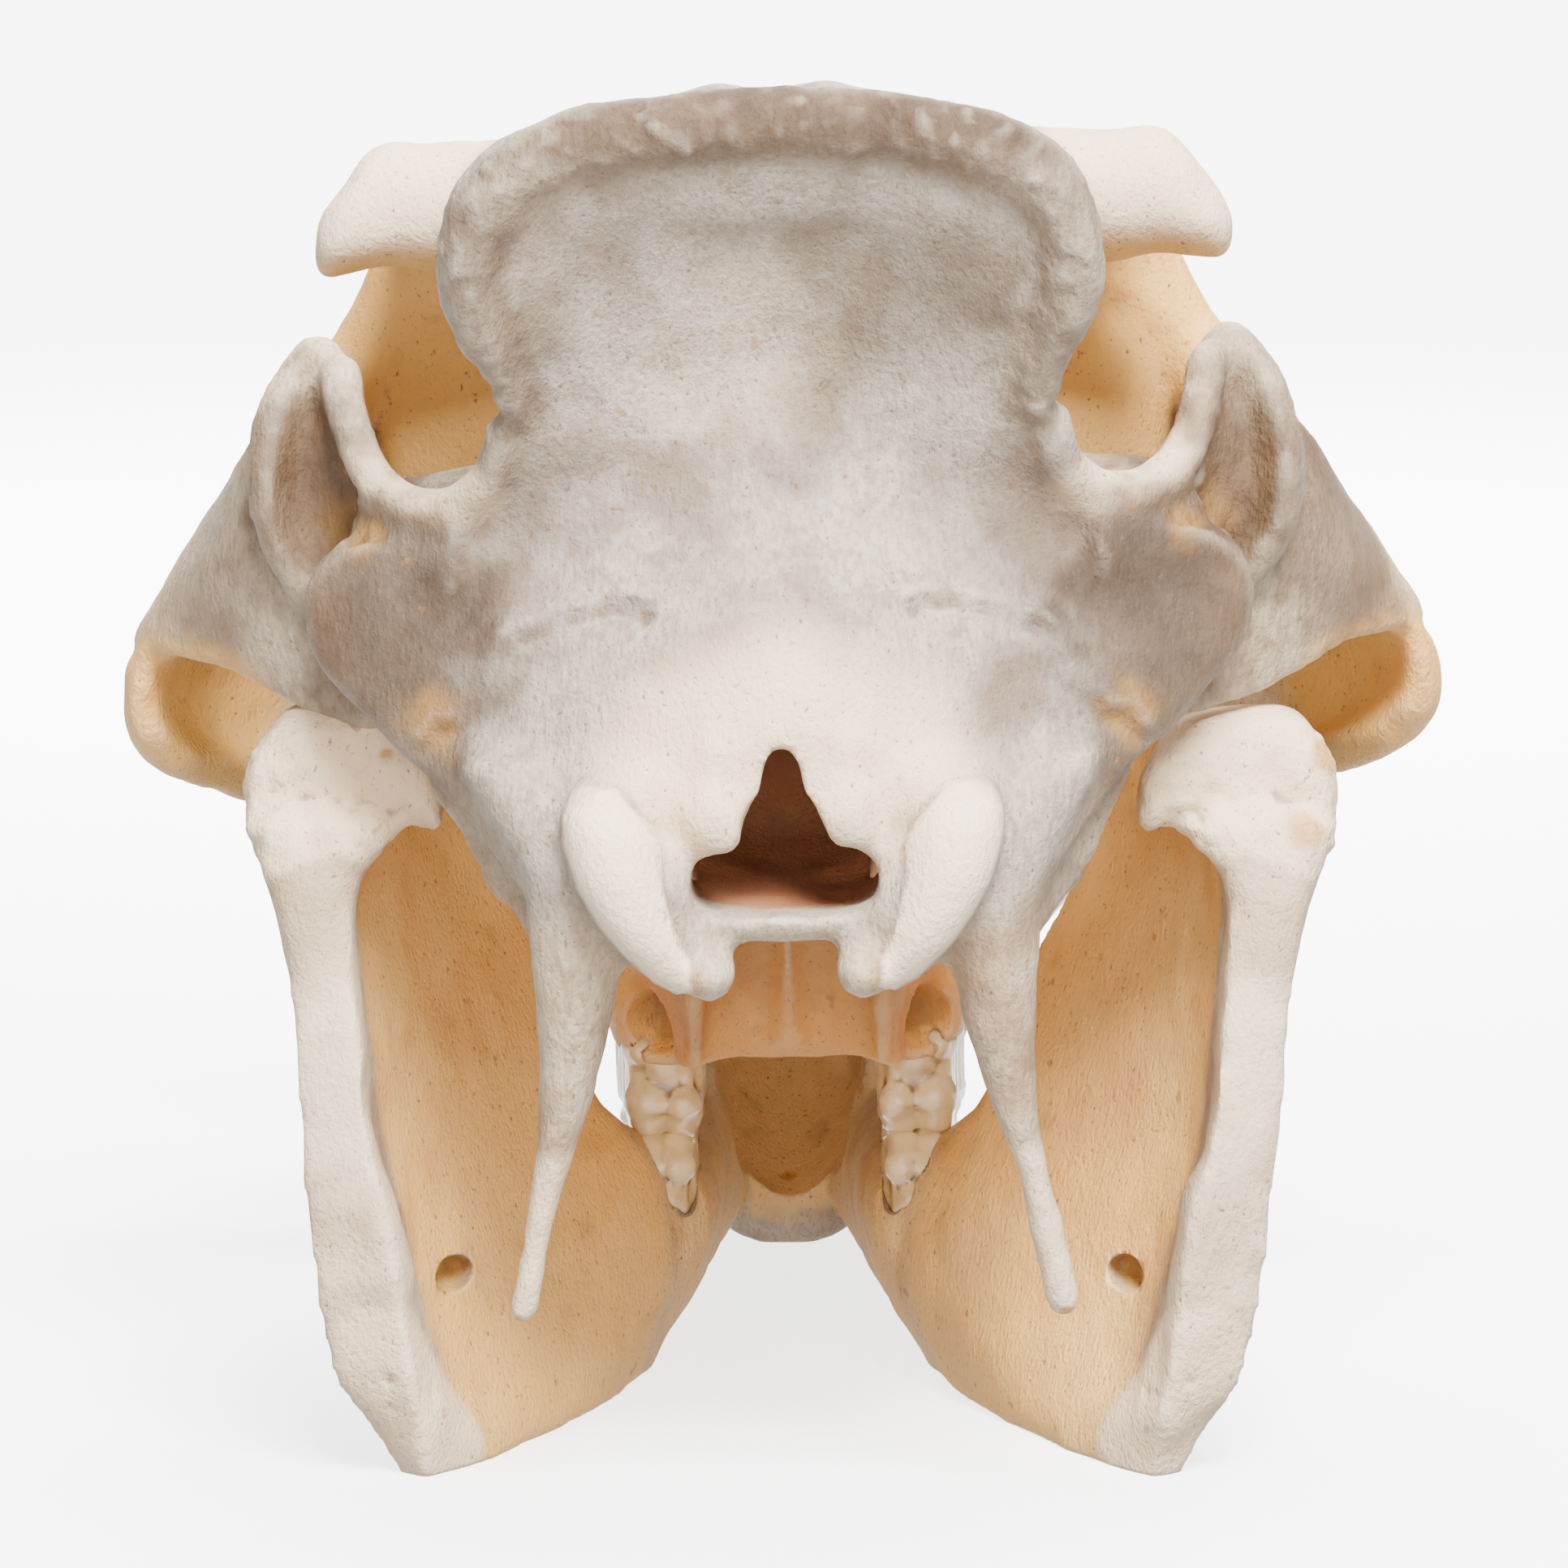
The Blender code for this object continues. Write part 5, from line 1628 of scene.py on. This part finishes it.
        # Painted glow: the middle of the thin inner walls is painted lighter, for light shining through
        # them.
        clear = 0.15 * thin_wall * points.about([(58, -76, 80), (48, -88, 50)], 30, 10)
        bright = np.maximum.reduce([joint, rear * 0.5, angle, clear, 0.3 * chin])
        points.attribute("pale", bright + shade * (rear > 0.1))
        points.attribute("worn", points.about([(70, -38, 74), (68, -37, 54)], 12, 5) * 0.5)
        # Painted shade: darker in fine creases and broad hollows, lighter on ridges.
        points.attribute("crease", points.hollow(2))
        points.attribute("valley", points.hollow(40))
        stains = (
            Patch((-82.6, -48, 114), 5, 0.75, False),  # the joints
            Patch((-79.2, -42.7, 103.4), 5, 0.65, False),
            Patch((62.1, -44, 114.5), 1.8, 0.8, False),
            Patch((0.4, -240, 11.9), 2.6, 0.9, False),  # the chin
            Patch((-2.3, -240, 9.2), 1.5, 1.0, False),
            Patch((52, -74, 28), 5, 0.4),  # the nerve holes
        )
        points.attribute("stain", points.patches(stains))
        points.attribute("deep", points.about([(50, -86, 26)], 6, 4) * ramp(x, 55, 50))
        points.coat(finish)

    def build(self, teeth: Iterable[bpy.types.Object]) -> bpy.types.Object:
        """Builds the jaw.

        Args:
            teeth: The pieces that need room in it.

        Returns:
            The object, in its own layout.
        """
        form = Form("mandible_bone")
        self.ramus(form)
        self.body(form)
        form.mirror()
        self.chin(form)
        jaw = form.skin(self.voxel, 8)
        combine(jaw, self.holes(), Joining.CUT)
        keep_largest(jaw)
        for tooth in teeth:
            make_room(jaw, tooth)
        points = Carving(jaw)
        self.carve(points)
        stand(jaw)
        thin(jaw, self.triangles)
        return jaw


@dataclass
class Tusk:
    """One curved tusk, along a path of x, y, z and radius."""

    name: str
    side: int
    path: tuple[tuple[float, float, float, float], ...]
    flatness: float = 0.86
    voxel: float = 0.8
    triangles: int = 24_000

    def build(self) -> bpy.types.Object:
        """Builds the tusk.

        Returns:
            The object, in its own layout.
        """
        form = Form(self.name)
        stations = [(self.side * x, y, z, r, r * self.flatness) for x, y, z, r in self.path]
        form.spindle(stations, sides=48, steps=9)
        return form.skin(self.voxel, 3)

    def finish(self, obj: bpy.types.Object, look: Finish) -> None:
        """Draws the growth bands and the long groove, and stains the root.

        Args:
            obj: The tusk.
            look: Its finish.
        """
        points = Carving(obj)
        line = [(self.side * x, y, z) for x, y, z, _ in self.path]
        groove = [(x, y + r * 0.9, z) for (x, y, z), (_, _, _, r) in zip(line, self.path)]
        points.stroke(groove[:-1], radius=2.6, depth=-0.7, both=False)
        points.roughen(points.everywhere, cell=6.0, depth=0.22, seed=51)
        points.roughen(points.everywhere, cell=2.2, depth=0.1, seed=52)
        points.write()
        thin(obj, self.triangles)
        points = Carving(obj)
        root = points.about([line[0], line[2]], 16, 12, False)
        tip = points.about([line[-1]], 12, 3, False)
        patchy = ramp(lattice_noise(points.places, 7.0, 53), -0.4, 0.5)
        points.attribute("stain", 0.8 * root * patchy + 0.25 * tip)
        points.attribute("worn", tip)
        points.coat(look)


@dataclass
class CheekTeeth:
    """One row of cheek teeth as a single piece, from the third molar to the front premolar."""

    name: str
    side: int
    crown: float
    root: float
    rear_root: float  # the last molar is still coming through, so its rear lobe is short
    girth: float = 1.0
    cusps: tuple[tuple[float, float, float], ...] = (  # across, up from the crown, radius
        (-3.0, 3.4, 3.6), (2.8, 4.0, 3.8), (0.2, 10.4, 3.8), (4.0, 13.0, 2.8),
    )
    lobes: tuple[tuple[float, float, float, float], ...] = (  # y, x, half length, half width
        (-127, 21, 6, 6),
        (-137, 21.5, 6.5, 6.8),
        (-148, 22, 6.5, 7),
        (-160, 22, 5.8, 7),
        (-170, 22, 5.8, 6.8),
        (-180, 21.8, 5.2, 6.5),
        (-189, 21.5, 5.2, 6.2),
        (-198, 21, 5, 5.4),
        (-207, 20.4, 4.8, 4.6),
    )
    column_step: float = 0.46  # from a lobe's middle to a column's, as a share of its half width
    fold_mm: float = 4.6  # from one enamel fold to the next
    molar_lobes: int = 3  # the last molar's, whose crowns are still round
    voxel: float = 0.6
    triangles: int = 20_000

    def build(self) -> bpy.types.Object:
        """Builds the row.

        Returns:
            The object, in its own layout.
        """
        form = Form(self.name)
        for count, (y, x, long, wide) in enumerate(self.lobes):
            root = self.rear_root if count == 0 else self.root
            rounded = 0.9 if count < self.molar_lobes else 0.3
            half = wide * self.girth
            for column in (-self.column_step, self.column_step):
                middle = self.side * (x + column * half)
                size = (half * 0.58, long * 0.96)
                ends = ((middle, y, self.crown, *size), (middle, y, root, *size))
                form.spindle(ends, Axis.Z, 2.4, 24, ends=rounded)
            core = (self.side * x, y, self.crown + 2.0 * math.copysign(1, self.root - self.crown))
            middle = ((*core, half * 0.9, long), (self.side * x, y, root, half * 0.9, long))
            form.spindle(middle, Axis.Z, 2.8, 24, ends=0.2)
        up = math.copysign(1, self.root - self.crown)
        y, x, long, _ = self.lobes[0]
        for across, rise, radius in self.cusps:
            middle = self.side * (x + across * self.girth)
            form.ball(middle, y + long * 0.7, self.crown + up * rise, radius, 3.4, radius)
        return form.skin(self.voxel, 3)

    def finish(self, obj: bpy.types.Object, look: Finish) -> None:
        """Draws the folds between the enamel columns and the worn pattern of the crowns.

        Args:
            obj: The row.
            look: Its finish.
        """
        points = Carving(obj)
        on_crown = ramp(np.abs(points.places[:, 2] - self.crown), 3.0, 1.0)
        points.roughen(on_crown, cell=3.2, depth=0.8, seed=61)
        columns = np.sin(points.places[:, 1] * 2 * math.pi / self.fold_mm)
        points.places[:, 0] += self.side * columns * 0.35 * (1 - on_crown)
        points.roughen(points.everywhere, cell=1.8, depth=0.12, seed=62)
        points.write()
        thin(obj, self.triangles)
        points = Carving(obj)
        seam = ramp(points.hollow(1), 0.55, 0.8)
        patchy = ramp(lattice_noise(points.places, 3.0, 63), 0.2, 0.7)
        points.attribute("stain", np.maximum(0.8 * seam, 0.35 * patchy))
        points.attribute("worn", ramp(np.abs(points.places[:, 2] - self.crown), 3.0, 1.0))
        points.coat(look)


@dataclass
class Incisors:
    """The incisors of one jaw, joined by the hidden bar of their roots."""

    name: str
    teeth: tuple[tuple[tuple[float, ...], ...], ...]
    bar: tuple[tuple[float, ...], ...]
    voxel: float = 0.5
    triangles: int = 16_000

    def build(self) -> bpy.types.Object:
        """Builds the incisors.

        Returns:
            The object, in its own layout.
        """
        form = Form(self.name)
        for tooth in self.teeth:
            form.spindle(tooth, sides=24, steps=6)
        form.mirror()
        form.spindle(self.bar, Axis.X, sides=16)
        return form.skin(self.voxel, 2)

    def finish(self, obj: bpy.types.Object, look: Finish) -> None:
        """Roughens the teeth slightly and stains the seams between them.

        Args:
            obj: The incisors.
            look: Their finish.
        """
        points = Carving(obj)
        points.roughen(points.everywhere, cell=2.4, depth=0.12, seed=71)
        points.write()
        thin(obj, self.triangles)
        points = Carving(obj)
        points.attribute("stain", 0.7 * ramp(points.hollow(1), 0.56, 0.8))
        points.attribute("worn", np.zeros(len(points.places)))
        points.coat(look)


def keep_largest(obj: bpy.types.Object) -> None:
    """Keeps only the largest closed skin of a mesh.

    Args:
        obj: The object.
    """
    bm = bmesh.new()
    bm.from_mesh(obj.data)
    left, pieces = set(bm.verts), []
    while left:
        heap, piece = [left.pop()], []
        while heap:
            vert = heap.pop()
            piece.append(vert)
            for edge in vert.link_edges:
                other = edge.other_vert(vert)
                if other in left:
                    left.discard(other)
                    heap.append(other)
        pieces.append(piece)
    pieces.sort(key=len)
    for piece in pieces[:-1]:
        bmesh.ops.delete(bm, geom=piece, context="VERTS")
    bm.to_mesh(obj.data)
    bm.free()


def make_room(bone: bpy.types.Object, piece: bpy.types.Object) -> None:
    """Cuts room for another piece into a bone.

    Args:
        bone: The bone.
        piece: The piece that sits in it.
    """
    space = put("room", piece.data.copy())
    grow = space.modifiers.new("grow", "DISPLACE")
    grow.mid_level = 0.0
    grow.strength = ROOM_GAP * MM
    settle(space)
    combine(bone, space, Joining.CUT)
    keep_largest(bone)


def stand(jaw: bpy.types.Object) -> None:
    """Cuts the underside of the jaw flat where it stands.

    Args:
        jaw: The jaw, in its own layout.
    """
    bm = bmesh.new()
    bmesh.ops.create_cube(bm, size=1.0)
    middle, size = Vector((0, -0.17, -0.01)), (0.3, 0.5, 0.02)  # a slab below the floor, in metres
    where = Matrix.Translation(middle) @ Matrix.Diagonal((*size, 1.0))
    bmesh.ops.transform(bm, matrix=where, verts=bm.verts)
    combine(jaw, put("floor_cut", to_mesh("floor_cut", bm)), Joining.CUT)


# Studio


@dataclass(frozen=True)
class Lamp:
    """A square soft light."""

    name: str
    place: tuple[float, float, float]
    size: float
    watts: float
    colour: str = "#ffffff"
    aim: tuple[float, float, float] = (0.0, 0.0, 0.1)

    def build(self) -> None:
        """Adds the light."""
        light = bpy.data.lights.new(self.name, "AREA")
        light.shape = "SQUARE"
        light.size = self.size
        light.energy = self.watts
        light.color = srgb(self.colour)[:3]
        obj = put(self.name, light)
        obj.location = self.place
        way = Vector(self.aim) - Vector(self.place)
        obj.rotation_euler = way.to_track_quat("-Z", "Y").to_euler()


@dataclass(frozen=True)
class Studio:
    """A white paper sweep, soft lights and the camera."""

    camera_place: tuple[float, float, float] = (-0.00036, 1.17696, 0.25)
    pitch: float = 7.6
    focal_px: float = 8500.0
    frame_px: float = 1932.0
    sensor_mm: float = 36.0
    ambient: float = 0.34
    table_glow: float = 3.0
    paper_reach: float = 2.5  # metres to each edge of the flat part, and the rear wall's height
    paper_bend: float = 1.0
    lamps: tuple[Lamp, ...] = (
        Lamp("key_softbox", (-0.2, 0.95, 1.05), 0.5, 70.0),
        Lamp("overhead_softbox", (-0.1, -0.1, 1.2), 0.6, 22.0),
        Lamp("low_reflector", (0.0, 0.8, 0.06), 0.5, 6.5, "#fff2e2"),
        Lamp("backdrop_light", (0.0, -1.1, 1.6), 1.4, 300.0, "#ffffff", (0.0, -2.6, 0.2)),
    )

    def floor(self) -> None:
        """Lays the sweep: flat under the skull, then curved up behind it."""
        bm = bmesh.new()
        bmesh.ops.create_grid(bm, x_segments=1, y_segments=1, size=self.paper_reach)
        far = [e for e in bm.edges if all(v.co.y < 0 for v in e.verts)]
        bent = bmesh.ops.spin(
            bm, geom=far + list({v for e in far for v in e.verts}), axis=(1, 0, 0),
            cent=(0, -self.paper_reach, self.paper_bend), angle=-math.pi / 2, steps=20, use_merge=False,
        )["geom_last"]
        edges = [e for e in bent if isinstance(e, bmesh.types.BMEdge)]
        rise = bmesh.ops.extrude_edge_only(bm, edges=edges)
        tops = [v for v in rise["geom"] if isinstance(v, bmesh.types.BMVert)]
        bmesh.ops.translate(bm, vec=(0, 0, self.paper_reach), verts=tops)
        bmesh.ops.recalc_face_normals(bm, faces=bm.faces)
        mesh = to_mesh("paper_sweep", bm)
        mesh.shade_smooth()
        obj = put("paper_sweep", mesh)
        # Uncoated studio paper is matt, and it is lit so evenly that it reads as plain white.
        paper = bpy.data.materials.new("white_paper")
        paper.use_nodes = True
        shader = paper.node_tree.nodes["Principled BSDF"]
        shader.inputs["Base Color"].default_value = srgb("#f6f6f6")
        shader.inputs["Roughness"].default_value = 0.9
        shader.inputs["Emission Color"].default_value = (1, 1, 1, 1)
        shader.inputs["Emission Strength"].default_value = self.table_glow
        mesh.materials.append(paper)
        obj.visible_diffuse = False

    def camera(self) -> None:
        """Stands the camera behind the skull, as the photograph was taken."""
        data = bpy.data.cameras.new("camera")
        data.sensor_width = self.sensor_mm
        data.lens = self.focal_px / self.frame_px * self.sensor_mm
        data.clip_start = 0.05
        obj = put("camera", data)
        obj.location = self.camera_place
        pitch = math.radians(self.pitch)
        way = Vector((0, -math.cos(pitch), -math.sin(pitch)))
        obj.rotation_euler = way.to_track_quat("-Z", "Y").to_euler()
        bpy.context.scene.camera = obj

    def build(self) -> None:
        """Builds the floor, lights, sky and camera."""
        self.floor()
        for lamp in self.lamps:
            lamp.build()
        sky = bpy.data.worlds.new("soft_sky")
        sky.use_nodes = True
        ground = sky.node_tree.nodes["Background"]
        ground.inputs["Color"].default_value = (1, 1, 1, 1)
        ground.inputs["Strength"].default_value = self.ambient
        bpy.context.scene.world = sky
        self.camera()


UPPER_TUSK = (
    (24, -278, 74, 11),
    (44, -282, 74, 12),
    (62, -286, 78, 12),
    (78, -290, 89, 11.5),
    (88, -293, 106, 10),
    (90, -294, 125, 7.5),
    (86, -294, 141, 4.5),
    (82, -293, 149, 1.8),
)
LOWER_TUSK = (
    (22, -292, 42, 7),
    (36, -302, 47, 7.5),
    (49, -309, 57, 7.5),
    (59, -312, 71, 6.6),
    (66, -313, 86, 4.8),
    (70, -312, 99, 1.8),
)
UPPER_INCISOR = ((10.5, -327, 75, 4.6, 4.2), (10, -335, 68, 4.6, 4.2), (7.5, -341, 62, 3.6, 3.2))
LOWER_CUSPS = ((-2.6, 3.4, 3.4), (2.8, 3.8, 3.4), (0.0, 8.6, 3.2))
SIDES = {"left": 1, "right": -1}


def lower_incisor_paths() -> tuple:
    """The paths of the three lower incisors on the left.

    Returns:
        Three paths of three stations each.
    """
    paths = []
    for x, reach in ((3.2, 0), (9.4, 2), (15.0, 8)):
        paths.append(
            (
                (x, -318 + reach * 0.4, 48.5, 3.4, 3),
                (x + 0.3, -334 + reach * 0.7, 53.5, 3.2, 2.6),
                (x + 0.4, -348 + reach, 57, 2.6, 1.6),
            )
        )
    return tuple(paths)


def main() -> None:
    """Builds every piece in order and stands it in for the CAD."""
    logging.basicConfig(level=logging.INFO, format="%(message)s")
    tusk_ivory = tooth_ivory("tusk_dentine", "#ece0c6", "#c69a5e", "#8a6238", 3.0, 0.32)
    enamel = tooth_ivory("cheek_tooth_enamel", "#e2c898", "#b98a4c", "#6a4828", 2.0, 0.25)
    upper: list[Tusk | CheekTeeth | Incisors] = [
        Incisors("upper_incisors_ivory", (UPPER_INCISOR,),
                 ((-10, -326, 75, 3, 3), (0, -324, 75, 3, 3), (10, -326, 75, 3, 3)))
    ]
    lower: list[Tusk | CheekTeeth | Incisors] = [
        Incisors("lower_incisors_ivory", lower_incisor_paths(),
                 ((-15, -316, 48, 3, 2.6), (0, -319, 48, 3, 2.6), (15, -316, 48, 3, 2.6)))
    ]
    for word, side in SIDES.items():
        upper.append(Tusk(f"upper_tusk_{word}_ivory", side, UPPER_TUSK))
        upper.append(CheekTeeth(f"upper_cheek_teeth_{word}_enamel", side, 42.9, 62, 54))
        lower.append(Tusk(f"lower_tusk_{word}_ivory", side, LOWER_TUSK))
        lower.append(
            CheekTeeth(f"lower_cheek_teeth_{word}_enamel", side, 39.2, 22, 28, 0.84, LOWER_CUSPS)
        )
    upper_made = {piece.name: (piece, piece.build()) for piece in upper}
    lower_made = {piece.name: (piece, piece.build()) for piece in lower}
    jaw_maker, skull_maker = Mandible(), Cranium()
    jaw = jaw_maker.build([obj for _, obj in lower_made.values()])
    log.info("jaw shaped")
    skull = skull_maker.build([obj for _, obj in upper_made.values()])
    log.info("cranium shaped")
    jaw_maker.dress(Carving(jaw), dry_bone("dry_jaw_bone"))
    skull_maker.dress(Carving(skull), dry_bone("dry_cranium_bone"))
    for made, is_upper in ((upper_made, True), (lower_made, False)):
        for name, (piece, obj) in made.items():
            piece.finish(obj, enamel if isinstance(piece, CheekTeeth) else tusk_ivory)
            place(obj, is_upper)
            hand_over(obj, "ivory", name.rsplit("_", 1)[0])
    place(skull, True)
    place(jaw, False)
    hand_over(skull, "bone", "cranium")
    hand_over(jaw, "bone", "mandible")
    Studio().build()


if __name__ == "__main__":
    main()
